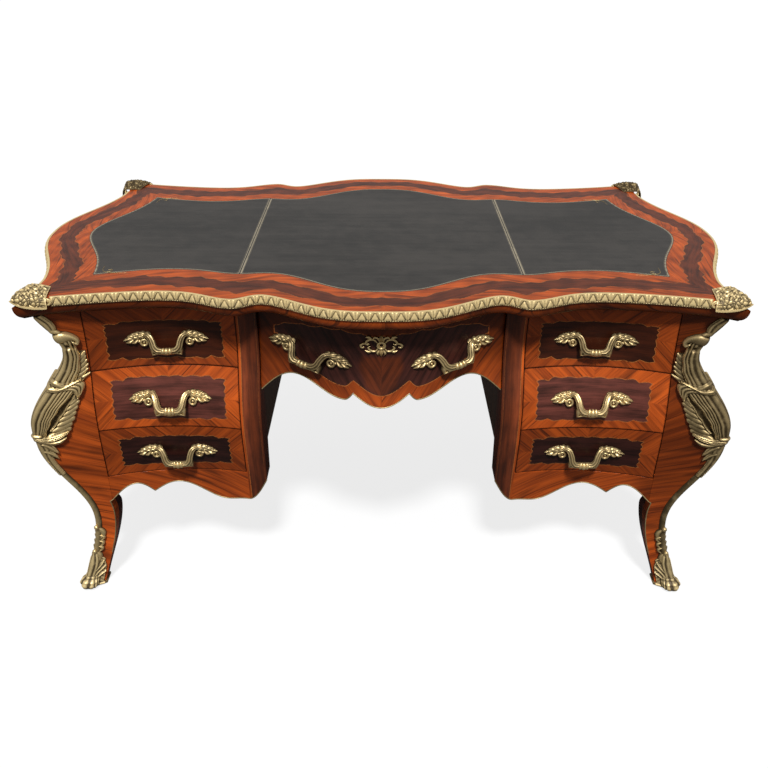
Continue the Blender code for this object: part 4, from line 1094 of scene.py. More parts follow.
def rim(count):
    """Outer edge of the top, edge of the lining and way round, for count stations a side."""
    share = np.linspace(-1, 1, count + 1)[:-1]
    x = share * TOP_CORNER_X
    y = share * TOP_CORNER_Y
    front = np.stack([x, -front_edge(x)], axis=1)
    right = np.stack([side_edge(y), y], axis=1)
    inner_x = share * LEATHER_CORNER_X
    inner_y = share * LEATHER_CORNER_Y
    inner_front = np.stack([inner_x, -leather_front(inner_x)], axis=1)
    inner_right = np.stack([leather_side(inner_y), inner_y], axis=1)
    outer = np.vstack([front, right, -front, -right])
    inner = np.vstack([inner_front, inner_right, -inner_front, -inner_right])
    middle = np.concatenate([share * TOP_CORNER_X, share * TOP_CORNER_Y] * 2)
    return outer, inner, middle


def outward(line):
    """Mitred outward directions of a closed counter-clockwise plan line."""
    before = unit(line - np.roll(line, 1, axis=0))
    after = unit(np.roll(line, -1, axis=0) - line)
    first = np.stack([before[:, 1], -before[:, 0]], axis=1)
    second = np.stack([after[:, 1], -after[:, 0]], axis=1)
    mitre = unit(first + second)
    return mitre / np.maximum(0.6, np.sum(mitre * second, axis=1))[:, None]


class DESK_OT_top_board(bpy.types.Operator):
    """Veneered top board with its rounded lower edge"""

    bl_idname = "desk.top_board"
    bl_label = "Top board"

    def execute(self, context):
        count = 220
        outer, inner, middle = rim(count)
        normal = outward(outer)
        shares = np.concatenate([[0.0], np.linspace(0.02, 0.98, 25), [1.0]])
        rings = [(inner * 0.0, DESK_HEIGHT - LEATHER_THICKNESS - FIT, 0.0)]
        rings.append((inner, DESK_HEIGHT - LEATHER_THICKNESS - FIT, 0.0))
        for share in shares:
            easing = EDGE_EASING * (share in (0.0, 1.0))
            rings.append((inner + (outer - inner) * share, DESK_HEIGHT - easing, share))
        rings.append((outer, LEDGE_Z + FIT, 1.0))
        gap = np.hypot(np.abs(outer[:, 0]) - TOP_CORNER_X, np.abs(outer[:, 1]) - TOP_CORNER_Y)
        spread = CORNER_SPREAD * np.exp(-((gap / CORNER_REACH) ** 2))
        for turn in np.linspace(math.pi / 2, 0.0, 9):
            proud = spread - OVOLO_DEPTH + (LEDGE + OVOLO_DEPTH) * math.sin(turn)
            z = UNDERSIDE + (OVOLO_HEIGHT + spread) * (1 - math.cos(turn))
            rings.append((outer + normal * proud[:, None], z, 1.1 + 0.1 * (1 - math.sin(turn))))
        rings.append((inner * 0.0, UNDERSIDE, 1.3))
        rows = []
        border = []
        for plan, z, share in rings:
            ring = np.column_stack([plan, np.broadcast_to(z, len(plan))])
            rows.append(np.vstack([ring, ring[:1]]))
            border.append(np.full(len(plan) + 1, share))
        points = np.array(rows)
        border = np.array(border)
        width = np.linalg.norm(outer - inner, axis=1)
        width = np.append(width, width[:1])[None, :]
        way = np.append(middle, middle[:1])[None, :]
        side = np.repeat(np.arange(4), count)
        side = np.append(side, side[:1])[None, :]
        ripple = 0.022 * np.sin(2 * math.pi * np.abs(way) / 0.047)
        low = 0.31 + 0.085 * (np.abs(np.sin(math.pi * way / 0.15)) - 0.6) + ripple
        high = 0.73 - 0.085 * (np.abs(np.cos(math.pi * way / 0.13)) - 0.6) - ripple
        inset = np.minimum(border - low, high - border) * width
        distance = border * width
        along = 0.93 * np.abs(way) + 0.37 * distance
        across = 0.93 * distance - 0.37 * np.abs(way)
        grain = vector_mark(along, across, side + 11 * (way > 0) + 5 * (border > 0.5))
        figure = vector_mark(np.abs(way), distance, side + 3)
        # Painted shade on the ovolo, darker towards its underside, and painted light and shade along it, lighter
        # at the middle of the front and darker towards the ends
        under = TOP_TONES_AND_PAINTED_SHADE["ovolo"][0] + (TOP_TONES_AND_PAINTED_SHADE["ovolo"][1] - TOP_TONES_AND_PAINTED_SHADE["ovolo"][0]) * (border - 1.1) / 0.1
        plan_x = np.append(outer[:, 0], outer[:1, 0])[None, :]
        under = under * eased(np.abs(plan_x), ((0.0, 1.6), (0.25, 1.35), (0.36, 0.65), (0.70, 0.58)))
        blotch = np.sin(23 * way + 5 * side) * np.sin(41 * way - 60 * distance + side)
        blotch = blotch + 0.6 * np.sin(97 * way + 80 * distance)
        board = np.where(inset > 0, TOP_TONES_AND_PAINTED_SHADE["panel"], TOP_TONES_AND_PAINTED_SHADE["band"]) * (1 + 0.15 * blotch)
        tone = np.where(border > 1.05, under, board)
        marks = wood_marks(grain, figure, inset=inset, shield=1.0, tone=tone)
        board = close_up(add_sheet("top_board_veneered", points, marks))
        low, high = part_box("lock_bolt")
        mortise = ((low.x + high.x) / 2, (low.y + high.y) / 2, UNDERSIDE)
        half_x = (high.x - low.x) / 2 + BOLT_SLACK
        half_y = (high.y - low.y) / 2 + BOLT_SLACK
        cut_box(board, mortise, (half_x, half_y, MORTISE_DEPTH))
        dress(board, veneer(), "carcass", "tulipwood", "top_board")
        return {"FINISHED"}


class DESK_OT_leather(bpy.types.Operator):
    """Three tooled leather panels"""

    bl_idname = "desk.leather"
    bl_label = "Leather lining"

    def execute(self, context):
        across = np.concatenate([[-1.0, -0.985, -0.965], np.linspace(-0.94, 0.94, 90), [0.965, 0.985, 1.0]])
        share, rise = np.meshgrid(across, across)
        x = share * (PANEL_EDGE - FIT / 2)
        y = rise * leather_front(x)
        self.panel("leather_center", x, y)

        start = PANEL_EDGE + FIT / 2
        edge_x = start + (share + 1) / 2 * (LEATHER_CORNER_X - start)
        part = (share + 1) / 2
        height = rise * LEATHER_CORNER_Y
        along_x = (1 - part) * start + part * leather_side(height)
        along_y = (1 - part) * rise * leather_front(start) + part * height
        up_y = rise * leather_front(edge_x)
        flat_y = rise * ((1 - part) * leather_front(start) + part * LEATHER_CORNER_Y)
        x = along_x
        y = along_y + up_y - flat_y
        self.panel("leather_right", x, y)
        self.panel("leather_left", -x[:, ::-1], y[:, ::-1])
        first = casting("leather_corner_model", self.flourish())
        for corner, (side, end) in CORNERS.items():
            dress(mirrored_copy(first, "leather_corner_" + corner, side, end), gilt(), "carcass", "brass")
        bpy.data.objects.remove(first, do_unlink=True)
        return {"FINISHED"}

    def flourish(self):
        """Gilt scrolls in an outer corner of the lining."""
        lines = (
            ((-0.011, -0.060), (-0.014, -0.030), (-0.024, -0.017), (-0.046, -0.012), (-0.075, -0.012)),
            ((-0.024, -0.017), (-0.036, -0.023), (-0.034, -0.033), (-0.026, -0.031)),
        )
        shapes = []
        for line in lines:
            plan = smooth(line, 40) + np.array((LEATHER_CORNER_X, LEATHER_CORNER_Y))
            path = np.column_stack([plan, np.full(40, DESK_HEIGHT)])
            points, _ = tube(path, 0.0011 * np.sin(math.pi * np.linspace(0.02, 0.98, 40)) ** 0.5, 8)
            shapes.append((points, {"relief": 0.5}))
        return shapes

    def panel(self, node, x, y):
        """One panel, with marks for the tooling along its edge."""
        outline = np.vstack(
            [
                np.column_stack([x[0, :-1], y[0, :-1]]),
                np.column_stack([x[:-1, -1], y[:-1, -1]]),
                np.column_stack([x[-1, :0:-1], y[-1, :0:-1]]),
                np.column_stack([x[:0:-1, 0], y[:0:-1, 0]]),
            ]
        )
        edge = np.abs(inside_distance(x, y, outline))
        centre = np.array((np.mean(x), np.mean(y)))
        horizontal = np.abs(y - centre[1]) * 1.6 > np.abs(x - centre[0])
        along = np.where(horizontal, x, y)
        points = np.stack([x, y, np.full_like(x, DESK_HEIGHT)], axis=-1)
        sheet = add_sheet(node + "_tooled", points, {"edge": edge, "along": along})
        dress(thicken(sheet, LEATHER_THICKNESS), leather(), "carcass", "leather", node)


class DESK_OT_edge_brass(bpy.types.Operator):
    """Leaf and dart edge of the top, with its row of beads"""

    bl_idname = "desk.edge_brass"
    bl_label = "Brass edge"

    def execute(self, context):
        end_x = TOP_CORNER_X - MOUNT_FRONT - 0.0015
        end_y = TOP_CORNER_Y - MOUNT_SIDE - 0.0015
        x = np.linspace(-end_x, end_x, 4000)
        y = np.linspace(-end_y, end_y, 3000)
        front = np.stack([x, -front_edge(x)], axis=1)
        right = np.stack([side_edge(y), y], axis=1)
        runs = {"front": front, "back": -front, "right": right, "left": -right}
        for name, line in runs.items():
            tall = EDGE_HEIGHT if name == "front" else EDGE_FLUSH
            piece = self.moulding("edge_moulding_" + name + "_chased", line, tall)
            dress(piece, bright_gilt(), "carcass", "brass", "edge_moulding_" + name)
        return {"FINISHED"}

    def moulding(self, name, line, tall):
        """A run of the moulding along a plan line with the desk on its left."""
        sizes = bpy.context.scene.desk_sizes
        lengths = np.concatenate([[0.0], np.cumsum(np.linalg.norm(np.diff(line, axis=0), axis=1))])
        repeats = round(lengths[-1] / sizes.dart_length)
        count = repeats * 20
        way = np.linspace(0, lengths[-1], count + 1)
        plan = np.stack([np.interp(way, lengths, line[:, axis]) for axis in range(2)], axis=1)
        run = unit(np.gradient(plan, axis=0))
        out = np.stack([run[:, 1], -run[:, 0]], axis=1)
        phase = (way / lengths[-1] * repeats) % 1.0
        beads = way / (lengths[-1] / (repeats * 5)) % 1.0

        bead_steps = [0.0, 0.0, 0.03, 0.07, 0.11, 0.15]
        rise = np.concatenate([bead_steps, np.linspace(0.18, 0.90, 15), [0.95, 1.0, 1.0]])
        levels = [0.0, 0.15, 0.18, 0.35, 0.7, 0.90, 0.95, 1.0]
        body = np.interp(rise, levels, [0.66, 0.7, 0.62, 0.70, 0.60, 0.45, 0.62, 0.58])
        proud = np.broadcast_to(EDGE_PROUD * body, (count + 1, len(rise))).copy()
        relief = np.full(proud.shape, 1.0)

        field = (rise > 0.16) & (rise < 0.92)
        height = np.clip((rise - 0.18) / 0.72, 0.0, 1.0)[None, :]
        aside = 2 * np.abs(phase - 0.5)[:, None]
        edge = 0.08 + 0.60 * (1 - height) ** 0.9
        dart = np.clip((edge - aside) / np.maximum(edge, 0.05), 0.0, 1.0)
        leaf_part = np.clip((aside - edge) / np.maximum(1 - edge, 0.05), 0.0, 1.0)
        ribs = 0.5 + 0.5 * np.cos(2 * math.pi * 1.5 * leaf_part)
        groove = 1 - 0.95 * np.exp(-(((aside - edge) / 0.10) ** 2))
        shape = groove * np.where(aside < edge, 0.55 + 0.45 * dart**0.7, 0.35 + 0.45 * ribs)
        shape = np.where(field[None, :], shape, 0.0)
        proud += sizes.dart_depth * shape
        relief = np.where(field[None, :], 0.18 + shape, relief)

        bead_rows = (rise > 0.02) & (rise < 0.16)
        swelling = np.sin(math.pi * np.clip((rise - 0.02) / 0.13, 0.0, 1.0))
        dome = swelling[None, :] * np.abs(np.sin(math.pi * beads))[:, None]
        proud += np.where(bead_rows[None, :], 0.0016 * dome, 0.0)
        relief = np.where(bead_rows[None, :], 0.2 + 0.8 * dome, relief)

        proud[:, 0] = FIT
        proud[:, -1] = FIT
        z = EDGE_LOW + tall * rise
        points = np.empty((*proud.shape, 3))
        points[..., 0] = plan[:, None, 0] + out[:, None, 0] * proud
        points[..., 1] = plan[:, None, 1] + out[:, None, 1] * proud
        points[..., 2] = z[None, :]
        points = np.concatenate([points, points[:, :1]], axis=1)
        relief = np.concatenate([relief, relief[:, :1]], axis=1)
        return close_up(add_sheet(name, points, {"relief": relief}), 50)


class DESK_OT_corner_mounts(bpy.types.Operator):
    """Pebbled and leafy caps over the corners of the top"""

    bl_idname = "desk.corner_mounts"
    bl_label = "Corner mounts"

    def execute(self, context):
        share = np.linspace(0.0, 1.0, 121)
        along_x, along_y = np.meshgrid(share, share)
        start_x = TOP_CORNER_X - MOUNT_FRONT
        start_y = TOP_CORNER_Y - MOUNT_SIDE
        flat_x, drop_x = self.rolled(along_x)
        flat_y, drop_y = self.rolled(along_y)
        edge_x = start_x + flat_x * MOUNT_FRONT
        edge_y = start_y + flat_y * MOUNT_SIDE
        front = front_edge(np.minimum(edge_x, TOP_CORNER_X)) + MOUNT_PROUD
        flank = side_edge(np.minimum(edge_y, TOP_CORNER_Y)) + MOUNT_PROUD
        inner_x = start_x + 0.016 * (1 - flat_y)
        inner_y = start_y + 0.014 * (1 - flat_x)
        x = inner_x + flat_x * np.sqrt(1 - 0.12 * flat_y**2) * (flank - inner_x)
        y = inner_y + flat_y * np.sqrt(1 - 0.38 * flat_x**3) * (front - inner_y)
        crown = np.sin(math.pi * (0.12 + 0.6 * flat_x)) * np.sin(math.pi * (0.12 + 0.6 * flat_y))
        drop = 1 - (1 - drop_x) * (1 - drop_y)
        top = DESK_HEIGHT + 0.0008 + (MOUNT_RISE - 0.004) * crown
        low = EDGE_LOW + 0.014 * (flat_x * flat_y) ** 2
        z = top - (top - low) * drop
        pebble = np.empty_like(x)
        for index in np.ndindex(x.shape):
            spot = Vector((x[index], y[index], z[index]))
            near = spot * 60.0
            drift = Vector((noise.noise(near), noise.noise(near + Vector((31.0, 7.0, 3.0))), 0.0))
            cells = noise.voronoi((spot + 0.006 * drift) * 120.0)[0]
            pebble[index] = min(1.0, (cells[1] - cells[0]) * 1.7) ** 0.8
        rim_band = np.clip((drop - 0.80) / 0.06, 0.0, 1.0)
        inner_rim = np.clip(1 - np.minimum(along_x, along_y) / 0.05, 0.0, 1.0)
        relief = np.maximum(pebble, np.maximum(rim_band, inner_rim * 0.8))
        lift = 0.0040 * relief * (1 - 0.4 * inner_rim)
        away = unit(np.stack([drop_x + 0.02, drop_y + 0.02, 1.1 - drop], axis=-1))
        points = np.stack([x, y, z], axis=-1) + away * (lift - 0.003)[..., None]
        points[..., 2] = np.maximum(points[..., 2], low - 0.0005)
        cap = add_sheet("corner_mount_cast", points, {"relief": 0.15 + 0.85 * relief})
        pieces = [thicken(cap, 0.0015)]
        for index, shape in enumerate(self.scrolls(start_x, start_y)):
            pieces.append(add_sheet(f"corner_scroll_{index}", *shape))
        first = close_up(join("corner_mount_model", pieces), 60)
        for corner, (side, end) in CORNERS.items():
            node = "corner_mount_" + corner
            cap = relief_scaled(mirrored_copy(first, node + "_cast", side, end), MOUNT_RELIEF_SHARE[end])
            dress(cap, bright_gilt() if end < 0 else gilt(), "carcass", "brass", node)
        bpy.data.objects.remove(first, do_unlink=True)
        return {"FINISHED"}

    def rolled(self, share):
        """Way across the cap and drop over its outer edge, for a share of the casting."""
        turn = np.clip((share - 0.62) / 0.38, 0.0, 1.0) * math.pi / 2
        flat = np.where(share < 0.62, share / 0.62 * 0.88, 0.88 + 0.12 * np.sin(turn))
        return flat, np.where(share < 0.62, 0.0, 1 - np.cos(turn))

    def scrolls(self, start_x, start_y):
        """Small volutes where the cap meets the brass edge."""
        front_y = float(front_edge(start_x)) + 0.010
        side_x = float(side_edge(start_y)) + 0.010
        turns = np.linspace(0, 3.2 * math.pi, 40)
        reach = 0.0085 * (1 - turns / (4.2 * math.pi))
        middle_z = EDGE_LOW + 0.011
        level = 0 * turns
        along = reach * np.cos(turns)
        up = middle_z + reach * np.sin(turns)
        front = np.stack([start_x + 0.002 + along, front_y + level, up], axis=1)
        flank = np.stack([side_x + level, start_y + 0.002 + along, up], axis=1)
        radii = 0.0026 * np.sin(math.pi * np.linspace(0.02, 0.98, 40)) ** 0.4
        return [tube(front, radii), tube(flank, radii)]


class DESK_OT_posts(bpy.types.Operator):
    """Corner posts that run down into cabriole legs"""

    bl_idname = "desk.posts"
    bl_label = "Corner posts"

    def execute(self, context):
        leg_levels = np.linspace(FOOT_Z, LEG_TOP_Z, 60)
        levels = np.concatenate([leg_levels, np.linspace(LEG_TOP_Z, CARCASS_TOP, 90)[1:]])
        front_share = np.linspace(0, 1, 25)
        side_share = np.linspace(0, 1, 19)
        z = levels[:, None]
        inner_x = post_front_x(z)
        rear_y = post_side_y(z)
        front_x = inner_x + (arris_x(z) - ARRIS_ROUND - inner_x) * front_share[None, :]
        side_start = arris_y(z) - ARRIS_ROUND
        side_y = side_start - (side_start - rear_y) * side_share[None, :]
        inner_y = front_face(inner_x, z)
        outer_x = side_face(rear_y, z)
        x = np.hstack([front_x, side_face(side_y, z), inner_x, inner_x])
        y = np.hstack([front_face(front_x, z), side_y, rear_y, inner_y])
        height = np.broadcast_to(z, x.shape)
        hidden_inward = [outer_x - inner_x, arris_x(z) - inner_x]
        inward = np.hstack([arris_x(z) - front_x, arris_y(z) - side_y, *hidden_inward])
        points = np.stack([x, y, height], axis=-1)
        hidden = np.full(inward.shape, -1.0)
        hidden[:, -2:-1] = 1.0
        for corner, (side, end) in CORNERS.items():
            seed = side + 2 * end
            # Painted light and shade by height: the front right post takes the darker curve, the others the left
            # one
            tone = eased(height, POST_PAINTED_LIGHT_AND_SHADE["right" if side > 0 and end < 0 else "left"])
            across = 0.53 * inward + 0.85 * height
            tone = tone * (1 + 0.16 * np.sin(across / 0.0047 + 3 * np.sin(across / 0.019 + side)))
            marks = wood_marks(streaked(inward, height, seed), inset=hidden, tone=tone)
            node = "corner_post_" + corner
            piece = close_up(add_sheet(node + "_veneered", quarter(points, side, end), marks), 35)
            dress(piece, veneer(), "carcass", "tulipwood", node)
        return {"FINISHED"}


class DESK_OT_chutes(bpy.types.Operator):
    """Scrolled, reeded and leafy brass over the corners, with its fillet down the leg"""

    bl_idname = "desk.chutes"
    bl_label = "Chutes"

    def execute(self, context):
        first = casting("chute_model", self.shapes())
        for corner, (side, end) in CORNERS.items():
            node = "chute_" + corner
            chute = relief_scaled(mirrored_copy(first, node + "_cast", side, end), CHUTE_PAINTED_LIGHT_AND_SHADE[side])
            dress(chute, gilt(), "carcass", "brass", node)
        bpy.data.objects.remove(first, do_unlink=True)
        return {"FINISHED"}

    def shapes(self):
        """Relief over the corner, and the fillet, berries and leaves down the leg."""
        shapes = [corner_relief(CARCASS_TOP, 0.350, 0.084, self.heights)]
        spine = [(0.0, 0.352), (0.0, 0.290), (0.0, 0.220), (0.0, 0.150), (0.0, 0.082)]
        widths = [0.0085, 0.0085, 0.0085, 0.0085, 0.010]
        heights = [0.0055, 0.0055, 0.0055, 0.006, 0.007]
        points, marks = leaf(corner_place, spine, widths, heights, ribs=1, rows=70, columns=22)
        shapes.append((points, {"relief": 0.64 * marks["relief"]}))
        for z in (0.1775, 0.1075):
            shapes.append(bead(corner_place(np.array(0.001), np.array(z), np.array(0.010)), 0.0058))
        for flank in (1, -1):
            for z in (0.172, 0.104):
                bend = [(0.002, 0.0), (0.009, 0.011), (0.011, 0.022), (0.005, 0.033)]
                spine = [(aside * flank, z - drop) for aside, drop in bend]
                widths = [0.003, 0.006, 0.006, 0.001]
                shapes.append(leaf(corner_place, spine, widths, [0.006, 0.008, 0.007, 0.004], ribs=1))
            for z in (0.150, 0.134, 0.119):
                bend = [(0.004, 0.0), (0.011, 0.005), (0.012, 0.011), (0.006, 0.017)]
                spine = [(aside * flank, z - drop) for aside, drop in bend]
                widths = [0.002, 0.0046, 0.0044, 0.001]
                shapes.append(leaf(corner_place, spine, widths, [0.005, 0.008, 0.007, 0.004], ribs=1, rows=14))
        return shapes

    def heights(self, aside, z):
        """Height of the chute's relief beside the arris."""
        rise = np.zeros(aside.shape)
        for layer in self.layers(aside, z):
            rise = np.maximum(rise, layer)
        for across, up in ((0.0045, 0.6655), (0.0125, 0.6650)):
            rise = rise - 0.008 * np.exp(-(((aside - across) / 0.0021) ** 2) - ((z - up) / 0.0055) ** 2)
        return np.maximum(rise, 0.0)

    def layers(self, aside, z):
        """The cap leaf, scroll, reeds, feathers, band, leaves, pierced shell and tail, one after another."""
        waist = eased(z, ((0.575, 0.037), (0.600, 0.032), (0.630, 0.024), (0.660, 0.019), (0.700, 0.022)))
        reeds = 0.0082 + 0.0033 * ribbed(4 * aside / waist + 0.5)
        reeds = reeds * np.clip((waist - aside) / 0.003, 0.0, 1.0) ** 0.5
        yield np.where((z > 0.570) & (z < 0.690), reeds, 0.0)
        inner = self.slot_edge(z)
        share = np.minimum(aside / inner, 1.0) ** 1.1
        reeds = 0.0088 + 0.0032 * ribbed(6 * share + 0.5)
        reeds = reeds * np.clip((inner - aside) / 0.003, 0.0, 1.0) ** 0.5
        yield np.where((z > 0.452) & (z < 0.582), reeds, 0.0)
        cap = [(0.0, 0.750), (0.002, 0.728), (0.001, 0.708)]
        yield stroke(aside, z, cap, [0.0090, 0.0135, 0.0060], 0.0015, 0.0075, 2)
        yield stroke(aside, z, [(0.0, 0.710), (0.006, 0.703)], [0.0060, 0.0050], 0.0015, 0.0075)
        scroll = [(0.0, 0.688), (0.010, 0.690), (0.020, 0.687)]
        scroll += [(0.0255, 0.679), (0.0215, 0.671), (0.0165, 0.675)]
        yield stroke(aside, z, scroll, [0.0125, 0.0125, 0.0095, 0.0065, 0.0048, 0.0038], 0.003, 0.0110)
        for index, length in enumerate(FEATHER_LENGTHS):
            root = 0.583 + 0.0106 * index
            roots = ((0.575, 0.037), (0.600, 0.032), (0.630, 0.024), (0.660, 0.019))
            start = float(eased(root, roots)) - 0.002
            spine = [(start, root - 0.003), (start + 0.5 * length, root), (start + length, root + 0.010)]
            yield stroke(aside, z, spine, [0.0066, 0.0074, 0.0034], 0.0016, 0.0046)
        for root in np.arange(0.4600, 0.549, 0.0122):
            start = float(self.slot_edge(root) + self.slot_width(root))
            tips = ((0.448, 0.060), (0.466, 0.070), (0.489, 0.0785), (0.511, 0.0780), (0.548, 0.0660))
            tip = float(eased(root, tips))
            spine = [(start + 0.003, root - 0.005), (0.5 * (start + tip), root), (tip - 0.006, root + 0.0075)]
            yield stroke(aside, z, spine, [0.0048, 0.0084, 0.0076], 0.0026, 0.0058)
        levels = np.linspace(0.470, 0.546, 9)
        rim_line = np.column_stack([self.slot_edge(levels) + self.slot_width(levels), levels])
        yield stroke(aside, z, rim_line, np.full(9, 0.0022), 0.002, 0.0070)
        sweep = [(0.008, 0.567), (0.030, 0.571), (0.050, 0.565), (0.061, 0.553), (0.0650, 0.541)]
        yield stroke(aside, z, sweep, [0.006, 0.012, 0.0125, 0.0085, 0.0018], 0.0060, 0.0085, 2)
        band = [(0.0, 0.580), (0.014, 0.573), (0.028, 0.565)]
        yield stroke(aside, z, band, [0.0052, 0.0052, 0.0030], 0.0105, 0.0040, 1)
        band = [(0.0, 0.566), (0.020, 0.572), (0.042, 0.584)]
        yield stroke(aside, z, band, [0.0058, 0.0056, 0.0022], 0.0112, 0.0045, 1)
        clasp = [(0.0, 0.457), (0.018, 0.450), (0.040, 0.453), (0.060, 0.462)]
        yield stroke(aside, z, clasp, [0.0080, 0.0090, 0.0085, 0.0025], 0.005, 0.0090, 2)
        fan = [(0.004, 0.448), (0.020, 0.439), (0.038, 0.439), (0.054, 0.447)]
        yield stroke(aside, z, fan, [0.0060, 0.0075, 0.0065, 0.0018], 0.004, 0.0080, 1)
        yield stroke(aside, z, [(0.0, 0.463), (0.004, 0.462)], [0.0060, 0.0050], 0.006, 0.0100)
        tail = [(0.0, 0.448), (0.002, 0.425), (0.001, 0.400), (0.0, 0.345)]
        yield stroke(aside, z, tail, [0.0120, 0.0125, 0.0100, 0.0088], 0.002, 0.0070, 2)
        leaflet = [(0.006, 0.438), (0.017, 0.425), (0.026, 0.409)]
        yield stroke(aside, z, leaflet, [0.0065, 0.0080, 0.0018], 0.003, 0.0070, 1)
        leaflet = [(0.004, 0.419), (0.013, 0.408), (0.020, 0.394)]
        yield stroke(aside, z, leaflet, [0.0060, 0.0065, 0.0015], 0.003, 0.0060, 1)

    def slot_edge(self, z):
        """Inner edge of the pierced slot beside the arris."""
        low = ((0.450, 0.014), (0.466, 0.018), (0.490, 0.029))
        return eased(z, (*low, (0.515, 0.039), (0.548, 0.049), (0.580, 0.052)))

    def slot_width(self, z):
        """Width of the pierced slot."""
        return 0.0142 * np.sqrt(np.maximum(0.0, 1 - ((z - 0.508) / 0.043) ** 2))


class DESK_OT_sabots(bpy.types.Operator):
    """Leafy brass shoes with a clawed toe"""

    bl_idname = "desk.sabots"
    bl_label = "Sabots"

    def execute(self, context):
        first = casting("sabot_model", [corner_relief(0.102, 0.003, 0.036, self.heights), self.sole()])
        for corner, (side, end) in CORNERS.items():
            node = "sabot_" + corner
            shoe = relief_scaled(mirrored_copy(first, node + "_cast", side, end), SABOT_PAINTED_SHADE[side])
            dress(shoe, bright_gilt(), "carcass", "brass", node)
        bpy.data.objects.remove(first, do_unlink=True)
        return {"FINISHED"}

    def heights(self, aside, z):
        """Height of the shoe's relief beside the arris."""
        rise = np.zeros(aside.shape)
        for layer in self.layers(aside, z):
            rise = np.maximum(rise, layer)
        return rise

    def layers(self, aside, z):
        """Ground, leaves that climb the leg, welt and clawed toe, one after another."""
        edge = eased(z, ((0.0, 0.034), (0.050, 0.033), (0.075, 0.026), (0.090, 0.012), (0.102, 0.006)))
        ground = 0.0030 + 0.0016 * ribbed((z + 0.9 * aside) / 0.0105)
        yield ground * np.clip((edge - aside) / 0.002, 0.0, 1.0) ** 0.5
        tongue = [(0.0, 0.100), (0.001, 0.070), (0.0, 0.036)]
        yield stroke(aside, z, tongue, [0.006, 0.0125, 0.013], 0.002, 0.0075, 2)
        for low, reach in ((0.066, 0.021), (0.050, 0.028), (0.034, 0.031)):
            spine = [(0.008, low - 0.016), (0.016, low - 0.004), (reach, low + 0.008)]
            yield stroke(aside, z, spine, [0.0055, 0.0065, 0.0020], 0.002, 0.0070, 1)
        yield stroke(aside, z, [(0.0, 0.006), (0.034, 0.006)], [0.0050, 0.0040], 0.002, 0.0060)
        toe = ((0.0, 0.011), (0.006, 0.0185), (0.012, 0.0230), (0.020, 0.0205))
        paw = eased(z, (*toe, (0.030, 0.0120), (0.042, 0.0050), (0.052, 0.0)))
        claws = 0.80 + 0.20 * ribbed(aside / 0.0062 + 0.5)
        yield paw * claws * np.sqrt(np.maximum(0.0, 1 - (aside / 0.022) ** 2))

    def sole(self):
        """Flat plate under the foot."""
        z = np.array(FOOT_Z)
        front_x = np.linspace(post_front_x(z), arris_x(z), 9)
        side_y = np.linspace(arris_y(z), post_side_y(z), 9)[1:]
        x = np.concatenate([front_x, side_face(side_y, z), [post_front_x(z)]])
        y = np.concatenate([front_face(front_x, z), side_y, [post_side_y(z)]])
        middle = np.array((x.mean(), y.mean()))
        plan = np.column_stack([x, y])
        grown = plan + unit(plan - middle) * 0.004
        grown = np.vstack([grown, grown[:1]])
        rings = []
        profile = ((0.0, 0.0), (0.985, 0.0), (1.0, 0.0008), (1.0, 0.0052), (0.985, 0.006), (0.0, 0.006))
        for share, level in profile:
            rings.append(np.column_stack([middle + (grown - middle) * share, np.full(len(grown), level)]))
        return np.array(rings), {"relief": 0.5}


def drawer_front_piece(name, side, level):
    """Veneered front of a pedestal drawer."""
    low, high = DRAWERS[level]
    low += DRAWER_GAP / 2
    high -= DRAWER_GAP / 2
    left = STILE_EDGE + DRAWER_GAP
    right = POST_X - DRAWER_GAP
    half_width = (right - left) / 2
    half_height = (high - low) / 2
    low_margin, high_margin = PANEL_MARGINS[level]
    outline = cartouche(half_width - PANEL_FLANK, half_height - low_margin, half_height - high_margin)
    outline = outline - np.array((PANEL_SHIFT, 0.0))
    # Painted light and shade of this level of drawers
    band_light_and_shade, panel_light_and_shade = DRAWER_PAINTED_LIGHT_AND_SHADE[level]
    seed = 4.0 * (side + 2) + {"top": 1, "middle": 2, "bottom": 3}[level]

    def surface(across, up):
        x = left + (right - left) * across
        z = low + (high - low) * up
        return x, front_face(x, z), z

    def marks(x, z):
        across = x - left - half_width
        up = z - low - half_height
        made = banded(across, up, half_width, half_height, outline, seed, band_light_and_shade, panel_light_and_shade)
        # Painted shadow: the veneer darkens to a fifth within about two millimetres of the sides and bottom edge
        # and one of the top edge, where the gaps round the drawer lie in shade
        distance_to_shaded_gap = np.minimum(half_width - np.abs(across), np.minimum(half_height + up, 2 * (half_height - up)))
        made["tone"] = made["tone"] * (0.2 + 0.8 * np.clip((distance_to_shaded_gap - 0.0006) / 0.0016, 0.0, 1.0))
        made["shield"] = 1.0 if level == "top" else -1.0
        return made

    return add_panel(name, surface, FRONT_BACK, 84, 160, marks, side, inset=TIGHT_EDGE)


class DESK_OT_drawer_fronts(bpy.types.Operator):
    """Fronts of the pedestal drawers"""

    bl_idname = "desk.drawer_fronts"
    bl_label = "Drawer fronts"

    def execute(self, context):
        for side_name, side in SIDES.items():
            for level in DRAWERS:
                label = f"{side_name}_{level}"
                piece = drawer_front_piece(f"drawer_front_{label}_veneered", side, level)
                dress(piece, veneer(), "drawer_" + label, "tulipwood", "drawer_front_" + label)
        return {"FINISHED"}


